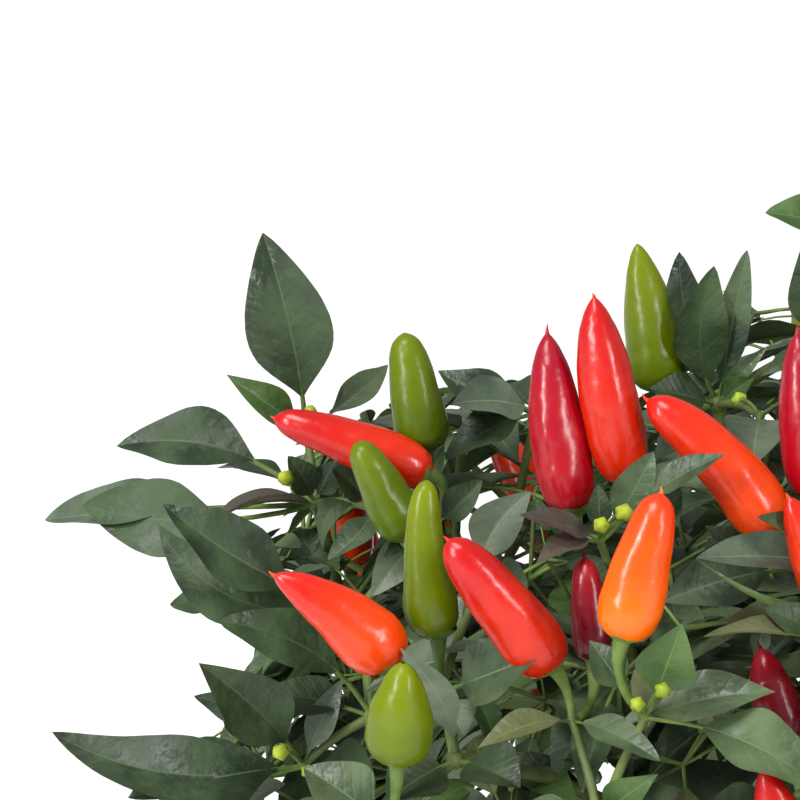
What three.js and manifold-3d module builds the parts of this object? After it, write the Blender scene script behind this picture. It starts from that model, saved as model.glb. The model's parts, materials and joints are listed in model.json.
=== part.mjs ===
// An ornamental chilli pepper plant, about 28 cm tall, rooted in level ground.
// A short woody stem runs on in a leader and forks into six boughs. Each of these carries one mass of
// foliage: twigs, leaves and upright fruit, fused into one solid. Millimetres, +Z up, the viewer stands at
// -Y, and the origin is the centre of the flat cut under the stem.
import * as THREE from "three";
import { mergeVertices } from "three/addons/utils/BufferGeometryUtils.js";
import Module from "manifold-3d";

const wasm = await Module();
wasm.setup();

// Driving dimensions of the crown, a dome over a bowl, and how steeply both turn towards its rim
const CROWN_REACH = 180;
const CROWN_TOP = 286;
const CROWN_FOOT = 60;
const RIM_TOP = 200;
const RIM_FOOT = 120;
const DOME_POWER = 1.3;
const BOWL_POWER = 2;
const CROWN_HEART = new THREE.Vector3(0, 0, 110);

// Driving dimensions of the stem and the boughs. A bough bends at these shares of its reach and of its rise.
// The stem ends in the leader's foot. Both start with the widest radius.
const STEM_PATH = [
  [0, 0, 0],
  [0, 0, 6],
  [0.4, 0.3, 14],
  [1.2, 0, 34],
  [1.5, -1, 60],
];
const STEM_RADII = [7.2, 5.5, 4.6, 4.2, 3.6];
const LEADER_PATH = [
  [1.5, -1, 60.3],
  [1.5, -1, 68],
  [-1.5, 2, 98],
  [1.5, -1.5, 138],
  [0, 0, 176],
];
const LEADER_RADII = [3.3, 3.1, 2.8, 2.4, 2.1];
const BOUGH_RADIUS = 2.8;
const BOUGH_TIP_RADIUS = 2.1;
const BOUGH_REACH = 58;
const BOUGH_RISE = 114;
const BOUGH_BEND = [0.42, 0.3];
const CLEARANCE = 0.3;

// Driving dimensions of twigs, leaves and fruit
const TWIG_RADIUS = 0.95;
const TWIG_POWER = 0.4;
const TWIG_BOW = 0.05;
const WAY_COST = 0.35;
const STUB_LENGTH = 6;
const KNOB_GROWTH = 1.5;
const FACE_SLANT = 0.35;
const CROSSING = 1e-4;
const TWIG_SIDES = 3;
const PETIOLE_RADIUS = 0.5;
const PETIOLE_LENGTH = 10;
const LEAF_SLENDERNESS = 2.1;
const LEAF_ARCH = 0.1;
const LEAF_FOLD = 0.12;
const LEAST_SEEN = 0.6;
const LEAF_LONGEST = 56;
const LEAF_SHORTEST = 36;
const LEAF_TRIES = [
  [0, 1],
  [0.6, 0.9],
  [-0.7, 0.75],
  [0.2, 0.6],
];
const LEAVES_PER_SPRAY = 6;
const LEAF_OPEN_OLDEST = 98;
const LEAF_OPEN_YOUNGEST = 46;
const LEAF_OPEN_SPREAD = 16;
const LEAF_SIZES = [0.86, 0.28];
const LEAF_DROOPS = [0.04, 0.2];
const LEAF_TWIST = 0.5;
const SPRAY_RISE = 0.35;
const FACE_RISE = 0.5;
const FRUIT_LENGTH = 42;
const FRUIT_GIRTH = 15;
const FRUIT_SIZES = [0.8, 0.35];
const FRUIT_GIRTHS = [0.85, 0.25];
const FRUIT_LEANS = [0.15, 0.5];
const FRUIT_TILT = 0.3;
const FRUIT_CHANCES = [0.25, 0.9];
const FRUIT_SIDES = 6;
const FRUIT_HIDDEN = 55;
const PEDICEL_LENGTH = 15;
const PEDICEL_RADIUS = 1.1;
const PEDICEL_BEND = 0.5;
const CALYX_GROWTH = 1.5;
const STEM_SIDES = 10;
const BOUGH_SIDES = 6;

// How full a leaf is, and how wide a fruit, at shares of its length
const SHOWN_FULLNESS = [
  [0.25, 0.96],
  [0.58, 0.88],
];
const RULE_FULLNESS = [[0.4, 1]];
const FOOT_FULLNESS = 0.3;
const FRUIT_PROFILE = [
  [0.74, 0.04],
  [1, 0.24],
  [0.82, 0.62],
  [0.42, 0.9],
];

// The rule that spreads sprays through the crown, and the room that everything leaves
const SPRAY_COUNT = 120;
const SPRAY_GAP = 36;
const MOST_THROWS = 12000;
const SHELL_REACH = 80;
const SHELL_DEPTH = 90;
const THROW_EDGE = 34;
const THROW_FOOT = 14;
const THROW_TOP = 22;
const THROW_RISE = 0.7;
const BEHIND_SHOWN = 16;
const NODE_ROOM = 12;
const NODE_INSIDE = 7.2;
const LIMB_ROOM = 6;
const SPACE_ROOM = 0.4;
const GOLDEN_TURN = THREE.MathUtils.degToRad(137.5);
const SEED = 20417;

// The reference view: from this far off, this many degrees above level, aimed at this point of the plant's
// axis plane. A place in the view is [right, up] from its middle, and a depth is how far in front of the axis
// it lies. The last four are the room that other growth leaves round the sky and round what the view shows.
const VIEW_DISTANCE = 1400;
const VIEW_RISE = THREE.MathUtils.degToRad(8);
const VIEW_AIM = new THREE.Vector3(-90, 0, 230);
const VIEW_HALF = 100;
const VIEW_MARGIN = { side: 15, foot: 10 };
const SKY_ROOM = 1;
const SHOWN_FRUIT_ROOM = 2;
const SHOWN_LEAF_ROOM = 0.4;
const SHOWN_DEPTH = 4;

// The masses round the leader, each with the turn of its bough about the axis, in degrees, and the height
// where its bough forks off. Each mass keeps to its own wedge, and the top mass to all above a cone.
const RING_MASSES = [
  { name: "right", turn: 31, fork: 36 },
  { name: "back", turn: 82, fork: 48 },
  { name: "back_left", turn: 133, fork: 40 },
  { name: "left", turn: 183, fork: 51 },
  { name: "front", turn: 257, fork: 38 },
  { name: "front_right", turn: 331, fork: 46 },
];
const RING_CENTRE_REACH = 100;
const RING_CENTRE_HEIGHT = 206;
const TOP_CENTRE_HEIGHT = 273;

// Sprays that the reference view shows, each with the place and depth of its node. A leaf is the place and
// depth of its tip, its width as seen, the turn of its face, 0 for up and 90 for the viewer, the share of the
// way that its blade takes, and its bow to the right of the way. A fruit is the place and depth of its tip,
// of its foot, and its girth.
const SHOWN_SPRAYS = [
  {
    node: [-23.5, -7, 18],
    leaves: [
      [-34.3, 41.8, 24, 21.5, 80, 0.82, 0.03],
      [-43.3, 6.3, 30, 8.5, 55, 0.87, -0.07],
      [-3, 8.8, 5, 8, 60, 0.76, 0.07],
    ],
    fruits: [],
  },
  {
    node: [-21, -26, 28],
    leaves: [
      [-70.8, -11.5, 18, 15, 45, 0.66, 0.09],
      [-45.8, -17, 6, 6.5, 25, 0.67, 0.03],
      [-79.5, -26.3, 22, 19, 60, 0.62, -0.11],
      [-88.8, -30, 4, 12, 30, 0.6, -0.11],
      [-46.5, -30, 46, 7, 5, 0.93, 0],
      [-28, -14, 38, 8, 60, 0.75, 0],
      [-16, -15, 34, 8, 60, 0.75, 0],
    ],
    fruits: [],
  },
  {
    node: [-7, -27, 44],
    leaves: [
      [-19.5, -37, 50, 6, 60, 0.8, 0.35],
      [-18, -40, 60, 8, 40, 0.8, -0.12],
      [-17, -17, 50, 9, 50, 0.75, 0],
    ],
    fruits: [],
  },
  {
    node: [-10, -52.5, 62],
    leaves: [
      [-59.3, -26, 70, 17, 55, 0.65, -0.105],
      [-60.5, -31, 48, 15, 50, 0.85, -0.24],
      [-57.5, -51, 34, 8, 40, 0.4, -0.05],
      [-47, -55, 62, 14, 40, 0.8, 0],
    ],
    fruits: [],
  },
  {
    node: [-7, -79, 66],
    leaves: [
      [-45.3, -55.3, 80, 13, 50, 0.68, 0.08],
      [-34, -74, 62, 10, 45, 0.75, 0],
    ],
    fruits: [],
  },
  {
    node: [-24.3, -91.3, 64],
    leaves: [
      [-50.3, -65.8, 82, 17, 75, 0.76, 0.04],
      [-51.5, -74, 46, 8, 50, 0.7, 0.04],
      [-14.3, -69.5, 66, 7.5, 65, 0.84, 0],
      [-87, -83, 56, 16, 45, 0.92, -0.18],
      [-68, -99.5, 72, 16, 40, 0.85, -0.05],
      [-62, -108, 60, 18, 45, 0.8, 0],
      [-6, -96, 62, 15, 55, 0.8, 0],
    ],
    fruits: [],
  },
  {
    node: [10, -73, 104],
    leaves: [
      [34.5, -63.8, 126, 15.5, 65, 0.68, 0.04],
      [16, -84, 116, 11, 50, 0.7, 0],
    ],
    fruits: [
      [6.8, -20, 108, 9.5, -59.3, 108, 14],
      [-31.5, -43.8, 120, -1.5, -66, 116, 17],
    ],
  },
  {
    node: [14, -90, 116],
    leaves: [
      [0, -62, 122, 8, 70, 0.8, 0.09],
      [30, -97, 132, 14, 50, 0.75, 0],
      [-3, -100, 128, 15, 55, 0.75, 0],
    ],
    fruits: [],
  },
  {
    node: [-2.5, -108, 124],
    leaves: [
      [-24, -92, 118, 15, 50, 0.8, 0],
      [-34, -116, 124, 16, 40, 0.8, 0],
      [18, -112, 136, 15, 45, 0.8, 0],
    ],
    fruits: [
      [0.8, -65.8, 140, -0.5, -90.5, 134, 17],
    ],
  },
  {
    node: [43, -80, 120],
    leaves: [
      [19.5, -87, 138, 7, 40, 0.85, 0],
      [65, -90.3, 138, 7.5, 50, 0.85, 0],
    ],
    fruits: [
      [12, -35, 125, 38.5, -67, 118, 16.5],
      [46, -39.3, 94, 48.5, -65, 98, 10.5],
    ],
  },
  {
    node: [61.3, -79.3, 132],
    leaves: [
      [70.5, -56, 146, 14, 85, 0.65, 0],
      [93.8, -73, 138, 12, 50, 0.95, 0],
      [106, -97.5, 148, 15, 45, 0.68, -0.03],
      [47.4, -60.2, 130, 9, 80, 0.62, 0],
    ],
    fruits: [
      [65.3, -23.3, 138, 55.5, -60, 140, 16],
    ],
  },
  {
    node: [50, -35, 84],
    leaves: [
      [29.8, -28.8, 100, 7, 45, 0.8, -0.06],
      [34, -41, 104, 7, 35, 0.8, 0],
      [63.3, -13, 94, 10, 80, 0.7, 0.03],
      [49.5, -21, 90, 6, 60, 0.7, 0],
      [81.3, -13.5, 100, 7, 50, 0.52, 0],
    ],
    fruits: [
      [36.8, 16.8, 70, 43.5, -29, 76, 15],
      [48.5, 25.8, 76, 57, -20.5, 76, 15.5],
    ],
  },
  {
    node: [19.5, -48, 84],
    leaves: [
      [32.6, -23, 84, 12, 65, 0.73, -0.12],
      [32, -47, 96, 12, 50, 0.75, 0],
    ],
    fruits: [],
  },
  {
    node: [79.5, -1, 10],
    leaves: [
      [69.8, 37, 8, 13, 80, 0.85, -0.07],
      [78.5, 33.5, 18, 14, 60, 0.8, -0.12],
      [86.8, 37.5, 16, 9, 55, 0.85, 0],
      [91.8, 13.3, 20, 4.5, 60, 0.85, 0],
      [62.5, 3, 20, 9, 45, 0.75, -0.08],
      [94, -2.5, 14, 3, 50, 0.8, 0],
      [88.5, 5.5, 20, 7, 70, 0.7, 0],
    ],
    fruits: [
      [59.3, 39, 10, 65.5, 2.5, 10, 17],
    ],
  },
  {
    node: [90, -4, 36],
    leaves: [
      [87.9, -17, 62, 16, 40, 0.8, 0],
      [99, -14, 44, 9, 60, 0.8, 0],
    ],
    fruits: [],
  },
  {
    node: [108, -41.5, 92],
    leaves: [
      [74, -39.5, 116, 12, 40, 0.85, -0.06],
      [74, -39.6, 121, 2.6, 60, 0.8, -0.3],
      [89.3, -29.3, 118, 9, 60, 0.8, 0],
      [65.5, -50.5, 108, 14, 50, 0.6, 0],
    ],
    fruits: [
      [61.8, 0, 82, 94, -34, 86, 16],
      [97, -24.3, 116, 109.5, -50, 112, 15],
      [99.3, 16.8, 78, 103.8, -25, 80, 14.5],
    ],
  },
  {
    node: [110, -64, 114],
    leaves: [
      [75.8, -59.3, 134, 6, 15, 0.92, 0],
      [91, -52, 122, 9, 50, 0.8, 0],
    ],
    fruits: [],
  },
  {
    node: [104, 13, 12],
    leaves: [
      [101, 40, 22, 12, 75, 0.85, 0],
      [90.3, 6, 20, 5, 60, 0.8, 0],
    ],
    fruits: [],
  },
  {
    node: [113, 40, 0],
    leaves: [
      [91.3, 46.8, 6, 11, 45, 0.85, 0],
      [103, 50, 8, 12, 60, 0.8, 0],
    ],
    fruits: [],
  },
  {
    node: [100, -99, 126],
    leaves: [
      [74, -112, 142, 14, 45, 0.8, 0],
      [87, -100, 120, 12, 60, 0.75, 0],
    ],
    fruits: [
      [90, -62, 114, 96.8, -85.5, 118, 12],
      [91, -91.5, 146, 100, -124, 142, 17],
    ],
  },
  {
    node: [34, -3, 24],
    leaves: [
      [9.5, 7.3, 20, 11, 55, 0.86, -0.1],
      [13, -1, 36, 12, 40, 0.85, 0],
      [11.3, -15, 34, 10, 40, 0.8, 0],
      [27, 4, 12, 12, 60, 0.8, 0],
    ],
    fruits: [],
  },
  {
    node: [50, -105, 132],
    leaves: [
      [64.5, -93.5, 148, 9, 65, 0.85, 0],
      [28, -110, 146, 14, 50, 0.8, 0],
    ],
    fruits: [],
  },
  {
    node: [9, -31, 48],
    leaves: [
      [-4.5, -40, 64, 6, 60, 0.8, 0],
      [20.5, -20, 54, 8, 60, 0.8, 0.06],
      [-7, -49, 62, 10, 50, 0.8, 0],
    ],
    fruits: [
      [1, 16.8, 40, 6.3, -13, 42, 14.5],
      [-31.5, -4.5, 50, 7.5, -18.5, 50, 13.5],
      [-11, -10.5, 64, 1.5, -34.5, 62, 13],
    ],
  },
];

// Gaps where the reference view shows sky through the crown: place and radius
const SKY_GAPS = [
  [-13, -30, 3],
  [-7.5, -39, 3.5],
  [-16, -83, 3],
  [-33, -28, 2.5],
  [24, -15.5, 3.5],
  [23.5, -28, 5],
  [17.5, -33, 3],
  [29, -38, 2],
  [88, 9, 3.5],
  [93, -4, 2.5],
  [69, -24.5, 2],
  [66, -83, 2.5],
  [69, -90, 2.5],
  [80, -66.5, 2],
  [96.5, -73, 2.5],
  [51, -96, 3],
];

// The edge of the crown in the reference view, inside which the leaves that it doesn't show have to stay
const SKY_EDGE = [
  [-62, -400],
  [-62, -88],
  [-45, -84],
  [-42, -72],
  [-35, -60],
  [-44, -48],
  [-38, -32],
  [-30, -16],
  [-24, -8],
  [-8, -2],
  [8, 3],
  [30, 5],
  [36, -4],
  [58, 0],
  [68, 26],
  [86, 30],
  [96, 12],
  [100, 60],
  [400, 60],
  [400, -400],
];

const UP = new THREE.Vector3(0, 0, 1);

const vec = (x, y, z) => new THREE.Vector3(x, y, z);
const mix = (a, b, t) => a.clone().lerp(b, t);
const along = (a, direction, distance) => a.clone().addScaledVector(direction, distance);

// A small seeded sequence, the same on every machine
let drawn = SEED;
function draw() {
  drawn = (Math.imul(drawn, 1664525) + 1013904223) >>> 0;
  return drawn / 2 ** 32;
}

// A drawn number from the first of a pair, over a spread given by its second
const drawnFrom = ([least, spread]) => least + spread * draw();

// The reference view's own axes and its eye
const VIEW_RIGHT = vec(1, 0, 0);
const VIEW_UP = vec(0, Math.sin(VIEW_RISE), Math.cos(VIEW_RISE));
const VIEW_BACK = vec(0, -Math.cos(VIEW_RISE), Math.sin(VIEW_RISE));
const EYE = along(VIEW_AIM, VIEW_BACK, VIEW_DISTANCE);

// The point that shows at [right, up] and lies at this depth in front of the axis
function placed(right, up, depth) {
  const onPlane = along(along(VIEW_AIM, VIEW_RIGHT, right), VIEW_UP, up);
  const sight = onPlane.sub(EYE);
  return along(EYE, sight, (-depth - EYE.y) / sight.y);
}

// Where a point shows in the reference view: [right, up]
function shows(point) {
  const sight = point.clone().sub(EYE);
  const scale = VIEW_DISTANCE / -sight.dot(VIEW_BACK);
  return [sight.dot(VIEW_RIGHT) * scale, sight.dot(VIEW_UP) * scale];
}

// The crown's upper and lower outline at a distance from the axis
function crownTop(reach) {
  return CROWN_TOP - (CROWN_TOP - RIM_TOP) * Math.pow(Math.min(1, reach / CROWN_REACH), DOME_POWER);
}

function crownFoot(reach) {
  return CROWN_FOOT + (RIM_FOOT - CROWN_FOOT) * Math.pow(Math.min(1, reach / CROWN_REACH), BOWL_POWER);
}

function inCrown(point, room) {
  const reach = Math.hypot(point.x, point.y);
  return reach < CROWN_REACH - room && point.z < crownTop(reach) - room && point.z > crownFoot(reach) + room;
}

// A unit vector square to an axis, turned about it
function square(axis, turn) {
  const first = Math.abs(axis.z) < 0.9 ? UP.clone() : vec(1, 0, 0);
  const across = first.cross(axis).normalize();
  return across.applyAxisAngle(axis, turn);
}

// The limbs: the stem, a leader and a ring of boughs, each a path with its radii
function limbs() {
  const made = [
    { name: "main_stem", path: STEM_PATH.map((place) => vec(...place)), radii: STEM_RADII },
    { name: "leader", path: LEADER_PATH.map((place) => vec(...place)), radii: LEADER_RADII },
  ];
  const [forkRight, , forkHeight] = STEM_PATH.at(-1);
  for (const mass of RING_MASSES) {
    const turn = THREE.MathUtils.degToRad(mass.turn);
    const out = vec(Math.cos(turn), Math.sin(turn), 0);
    const foot = vec((forkRight * mass.fork) / forkHeight, 0, mass.fork);
    const tip = along(out.clone().multiplyScalar(BOUGH_REACH), UP, BOUGH_RISE);
    const [bendOut, bendUp] = BOUGH_BEND;
    const bend = along(along(foot, out, BOUGH_REACH * bendOut), UP, (BOUGH_RISE - mass.fork) * bendUp);
    const path = new THREE.QuadraticBezierCurve3(foot, bend, tip).getPoints(5);
    const thinner = (BOUGH_RADIUS - BOUGH_TIP_RADIUS) / (path.length - 1);
    const radii = path.map((_, i) => BOUGH_RADIUS - thinner * i);
    made.push({ name: `bough_${mass.name}`, path, radii });
  }
  return made;
}

// The masses: the centre of the space that each keeps to, and where its own stem starts
function masses(allLimbs) {
  const tipOf = (name) => allLimbs.find((limb) => limb.name === name).path.slice(-2);
  const made = [{ name: "foliage_top", limb: "leader", centre: vec(0, 0, TOP_CENTRE_HEIGHT) }];
  for (const mass of RING_MASSES) {
    const turn = THREE.MathUtils.degToRad(mass.turn);
    const centre = vec(Math.cos(turn), Math.sin(turn), 0).multiplyScalar(RING_CENTRE_REACH);
    centre.z = RING_CENTRE_HEIGHT;
    made.push({ name: `foliage_${mass.name}`, limb: `bough_${mass.name}`, centre });
  }
  for (const mass of made) {
    const [before, tip] = tipOf(mass.limb);
    mass.heading = tip.clone().sub(before).normalize();
    mass.root = along(tip, mass.heading, CLEARANCE);
  }
  return made;
}

// How far a point lies inside a mass's own space, which ends half-way to every other mass's centre
function inside(point, mass, all) {
  let least = Infinity;
  for (const other of all) {
    if (other === mass) continue;
    const apart = other.centre.distanceTo(mass.centre);
    const squares = point.distanceToSquared(other.centre) - point.distanceToSquared(mass.centre);
    least = Math.min(least, squares / (2 * apart));
  }
  return least;
}

function massOf(point, all) {
  return all.reduce((best, mass) =>
    point.distanceToSquared(mass.centre) < point.distanceToSquared(best.centre) ? mass : best,
  );
}

// Distance from a point to a chain of straight pieces
function distanceToPath(point, path) {
  const nearest = vec(0, 0, 0);
  return Math.min(
    ...path.slice(1).map((end, i) => {
      new THREE.Line3(path[i], end).closestPointToPoint(point, true, nearest);
      return nearest.distanceTo(point);
    }),
  );
}

// A leaf from its node to its tip. Its middle line is an arch that bulges towards the side its face looks to,
// and sideways by its bow.
function leafAt(node, tip, width, face, share, bow) {
  const chord = tip.clone().sub(node);
  const heading = chord.clone().normalize();
  const across = heading.clone().cross(face).normalize();
  const normal = across.clone().cross(heading).normalize();
  const arched = along(mix(node, tip, 0.5), normal, 2 * LEAF_ARCH * chord.length());
  const crest = along(arched, across, 2 * bow * chord.length());
  const line = new THREE.QuadraticBezierCurve3(node, crest, tip);
  return { node, tip, width, across, normal, line, start: 1 - share };
}

// The three corners of a leaf at a share of its blade: both edges, lifted into a fold, and the keel below
function leafSection(leaf, share, fullness) {
  const middle = leaf.line.getPoint(leaf.start + (1 - leaf.start) * share);
  const half = (leaf.width / 2) * fullness;
  const lift = 2 * half * LEAF_FOLD;
  return [
    along(along(middle, leaf.across, -half), leaf.normal, lift),
    along(along(middle, leaf.across, half), leaf.normal, lift),
    along(middle, leaf.normal, -PETIOLE_RADIUS),
  ];
}

// The points that bound a leaf
function leafBounds(leaf) {
  const profile = [[0, FOOT_FULLNESS], ...RULE_FULLNESS];
  const sections = profile.flatMap(([share, full]) => leafSection(leaf, share, full));
  return [...sections, leaf.line.getPoint(0.85), leaf.tip];
}

const faceTurned = (degrees) => {
  const turn = THREE.MathUtils.degToRad(degrees);
  return vec(0, -Math.sin(turn), Math.cos(turn));
};

// A leaf that the reference view shows this wide: the more it is turned away, the wider it really is
function seenLeaf(node, tip, seen, face, share, bow) {
  const leaf = leafAt(node, tip, seen, face, share, bow);
  const sight = tip.clone().sub(EYE).normalize();
  leaf.width = seen / Math.max(LEAST_SEEN, along(leaf.across, sight, -leaf.across.dot(sight)).length());
  return leaf;
}

// The sprays that the reference view shows
function shownSprays() {
  return SHOWN_SPRAYS.map(({ node, leaves, fruits }) => {
    const point = placed(...node);
    return {
      point,
      shown: true,
      leaves: leaves.map(([right, up, depth, seen, turn, share, bow]) =>
        seenLeaf(point, placed(right, up, depth), seen, faceTurned(turn), share, bow),
      ),
      fruits: fruits.map(([right, up, depth, footRight, footUp, footDepth, girth]) => ({
        tip: placed(right, up, depth),
        foot: placed(footRight, footUp, footDepth),
        girth,
      })),
    };
  });
}

// More sprays, thrown at random into the rest of the crown and kept where they have room.
// On the reference view's side they stay behind the sprays that it shows.
function thrownSprays(shown, allLimbs, allMasses) {
  const sprays = [...shown];
  for (let tries = 0; tries < MOST_THROWS && sprays.length < SPRAY_COUNT; tries++) {
    const turn = draw() * 2 * Math.PI;
    const reach = (CROWN_REACH - THROW_EDGE) * Math.sqrt(draw());
    const low = crownFoot(reach) + THROW_FOOT;
    const high = crownTop(reach) - THROW_TOP;
    const height = low + (high - low) * Math.pow(draw(), THROW_RISE);
    const point = vec(reach * Math.cos(turn), reach * Math.sin(turn), height);
    if (reach < SHELL_REACH && crownTop(reach) - point.z > SHELL_DEPTH) continue;
    if (sprays.some((spray) => spray.point.distanceTo(point) < SPRAY_GAP)) continue;
    if (allLimbs.some((limb) => distanceToPath(point, limb.path) < NODE_ROOM)) continue;
    if (inside(point, massOf(point, allMasses), allMasses) < NODE_INSIDE) continue;
    const [right, up] = shows(point);
    if (inView(right, up)) {
      if (!inOutline(right, up, SKY_EDGE)) continue;
      const apart = (spray) => Math.hypot(spray.point.x - point.x, spray.point.z - point.z);
      const nearest = shown.reduce((best, spray) => (apart(spray) < apart(best) ? spray : best));
      if (point.y < nearest.point.y + BEHIND_SHOWN) continue;
    }
    sprays.push({ point, shown: false, leaves: [], fruits: [] });
  }
  return sprays;
}

const inView = (right, up) =>
  Math.abs(right) < VIEW_HALF + VIEW_MARGIN.side && up > -VIEW_HALF - VIEW_MARGIN.foot;

// Whether a place lies inside an outline, by the crossings of a level line to its right
function inOutline(right, up, outline) {
  let within = false;
  outline.forEach(([x, y], i) => {
    const [px, py] = outline[(i + outline.length - 1) % outline.length];
    if (y > up !== py > up && right < x + ((px - x) * (up - y)) / (py - y)) within = !within;
  });
  return within;
}

// Whether rule growth keeps clear, as the reference view sees it, of the sky and of what the view shows
function keepsView(points, shownThings) {
  for (const point of points) {
    const [right, up] = shows(point);
    if (!inView(right, up)) continue;
    if (!inOutline(right, up, SKY_EDGE)) return false;
    if (SKY_GAPS.some(([x, y, radius]) => Math.hypot(right - x, up - y) < radius + SKY_ROOM)) return false;
    for (const thing of shownThings) {
      if (point.y > Math.max(thing.foot.y, thing.tip.y) + SHOWN_DEPTH) continue;
      const ends = [vec(...shows(thing.foot), 0), vec(...shows(thing.tip), 0)];
      if (distanceToPath(vec(right, up, 0), ends) < thing.room) return false;
    }
  }
  return true;
}

// Whether points stay in their mass's own space, with room to spare
function keepsSpace(points, room, mass, allMasses) {
  return points.every((point) => inside(point, mass, allMasses) > room);
}

// Leaves round a spray's node by the golden turn: the oldest are long and open, the youngest short and
// upright. A leaf with no room tries again turned further and shorter, and is skipped if that doesn't help.
function growLeaves(spray, allLimbs, allMasses, shownThings) {
  const axis = spray.point.clone().sub(CROWN_HEART).normalize().lerp(UP, SPRAY_RISE).normalize();
  const phase = draw() * 2 * Math.PI;
  for (let k = 0; k < LEAVES_PER_SPRAY; k++) {
    const youth = k / (LEAVES_PER_SPRAY - 1);
    const opening = LEAF_OPEN_OLDEST - (LEAF_OPEN_OLDEST - LEAF_OPEN_YOUNGEST) * youth;
    const open = THREE.MathUtils.degToRad(opening + LEAF_OPEN_SPREAD * (draw() - 0.5));
    const longest = (LEAF_LONGEST - (LEAF_LONGEST - LEAF_SHORTEST) * youth) * drawnFrom(LEAF_SIZES);
    const droop = drawnFrom(LEAF_DROOPS);
    const twist = LEAF_TWIST * (draw() - 0.5);
    for (const [turned, shorter] of LEAF_TRIES) {
      const length = longest * shorter;
      const out = square(axis, phase + k * GOLDEN_TURN + turned);
      const heading = axis.clone().multiplyScalar(Math.cos(open)).addScaledVector(out, Math.sin(open));
      const tip = along(along(spray.point, heading, length), UP, -droop * length);
      const face = axis.clone().lerp(UP, FACE_RISE).addScaledVector(out.clone().cross(axis), twist);
      const share = 1 - PETIOLE_LENGTH / length;
      const leaf = leafAt(spray.point, tip, (length * share) / LEAF_SLENDERNESS, face, share, 0);
      const bounds = leafBounds(leaf);
      if (!bounds.every((point) => inCrown(point, 0))) continue;
      if (!keepsSpace(bounds, SPACE_ROOM, spray.mass, allMasses)) continue;
      if (!keepsView(bounds, shownThings)) continue;
      const nearLimb = (point) => allLimbs.some((limb) => distanceToPath(point, limb.path) < LIMB_ROOM);
      if (bounds.some(nearLimb)) continue;
      spray.leaves.push(leaf);
      break;
    }
  }
}

// A fruit stands up out of a thrown spray, more often high in the crown
function growFruit(spray, allMasses, shownThings) {
  const chance = draw();
  const turn = draw() * 2 * Math.PI;
  const lean = drawnFrom(FRUIT_LEANS);
  const size = drawnFrom(FRUIT_SIZES);
  const reach = Math.hypot(spray.point.x, spray.point.y);
  const height = (spray.point.z - crownFoot(reach)) / (crownTop(reach) - crownFoot(reach));
  if (chance > FRUIT_CHANCES[0] + FRUIT_CHANCES[1] * height) return;
  const outward = vec(spray.point.x, spray.point.y, 0).normalize();
  const heading = along(along(UP, outward, lean), square(UP, turn), FRUIT_TILT).normalize();
  const foot = along(spray.point, heading, PEDICEL_LENGTH);
  const tip = along(foot, heading, FRUIT_LENGTH * size);
  const girth = FRUIT_GIRTH * (FRUIT_GIRTHS[0] + FRUIT_GIRTHS[1] * size);
  const [right, up] = shows(foot);
  if (inView(right, up) && foot.y < FRUIT_HIDDEN) return;
  if (!inCrown(foot, 0)) return;
  if (!keepsSpace([foot, tip], girth / 2 + SPACE_ROOM, spray.mass, allMasses)) return;
  if (keepsView([foot, mix(foot, tip, 0.5), tip], shownThings)) spray.fruits.push({ tip, foot, girth });
}

// Everything that grows: the sprays with their masses, and on each its leaves and fruit
function growth(allLimbs, allMasses) {
  const shown = shownSprays();
  const shownThings = shown.flatMap((spray) => [
    ...spray.fruits.map((fruit) => ({ ...fruit, room: fruit.girth / 2 + SHOWN_FRUIT_ROOM })),
    ...spray.leaves.map((leaf) => ({
      foot: leaf.line.getPoint(leaf.start),
      tip: leaf.tip,
      room: leaf.width * SHOWN_LEAF_ROOM,
    })),
  ]);
  const sprays = thrownSprays(shown, allLimbs, allMasses);
  for (const spray of sprays) {
    spray.mass = massOf(spray.point, allMasses);
    const clear = (points, room) => keepsSpace(points, room, spray.mass, allMasses);
    spray.leaves = spray.leaves.filter((leaf) => clear(leafBounds(leaf), SPACE_ROOM));
    const fits = ({ foot, tip, girth }) => clear([foot, tip], girth / 2 + SPACE_ROOM);
    spray.fruits = spray.fruits.filter(fits);
    if (spray.shown) continue;
    growLeaves(spray, allLimbs, allMasses, shownThings);
    growFruit(spray, allMasses, shownThings);
  }
  return sprays.filter((spray) => spray.shown || spray.leaves.length > 1);
}

// Twigs join a mass's sprays to its root: each spray, nearest first, grows from the joined point that makes
// the shortest way back. Each twig is as thick as all that it carries.
function growTwigs(start, sprays) {
  const joined = [{ point: start, way: 0, parent: null, carried: 0 }];
  const order = [...sprays].sort((a, b) => a.point.distanceTo(start) - b.point.distanceTo(start));
  for (const spray of order) {
    const cost = (from) => from.point.distanceTo(spray.point) + WAY_COST * from.way;
    const parent = joined.reduce((best, from) => (cost(from) < cost(best) ? from : best));
    const way = parent.way + parent.point.distanceTo(spray.point);
    joined.push({ point: spray.point, way, parent, carried: 0 });
  }
  for (const end of joined.slice(1)) {
    for (let step = end; step; step = step.parent) step.carried++;
  }
  const radius = (carried) => Math.min(BOUGH_TIP_RADIUS, TWIG_RADIUS * Math.pow(carried, TWIG_POWER));
  return joined.slice(1).map((end) => ({
    from: end.parent.point,
    to: end.point,
    fromRadius: radius(end.carried + 1),
    toRadius: radius(end.carried),
  }));
}

// A manifold solid from corner points and triangles
function solid(corners, faces) {
  return new wasm.Manifold(
    new wasm.Mesh({
      numProp: 3,
      vertProperties: new Float32Array(corners.flatMap((corner) => corner.toArray())),
      triVerts: new Uint32Array(faces.flat()),
    }),
  );
}

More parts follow.
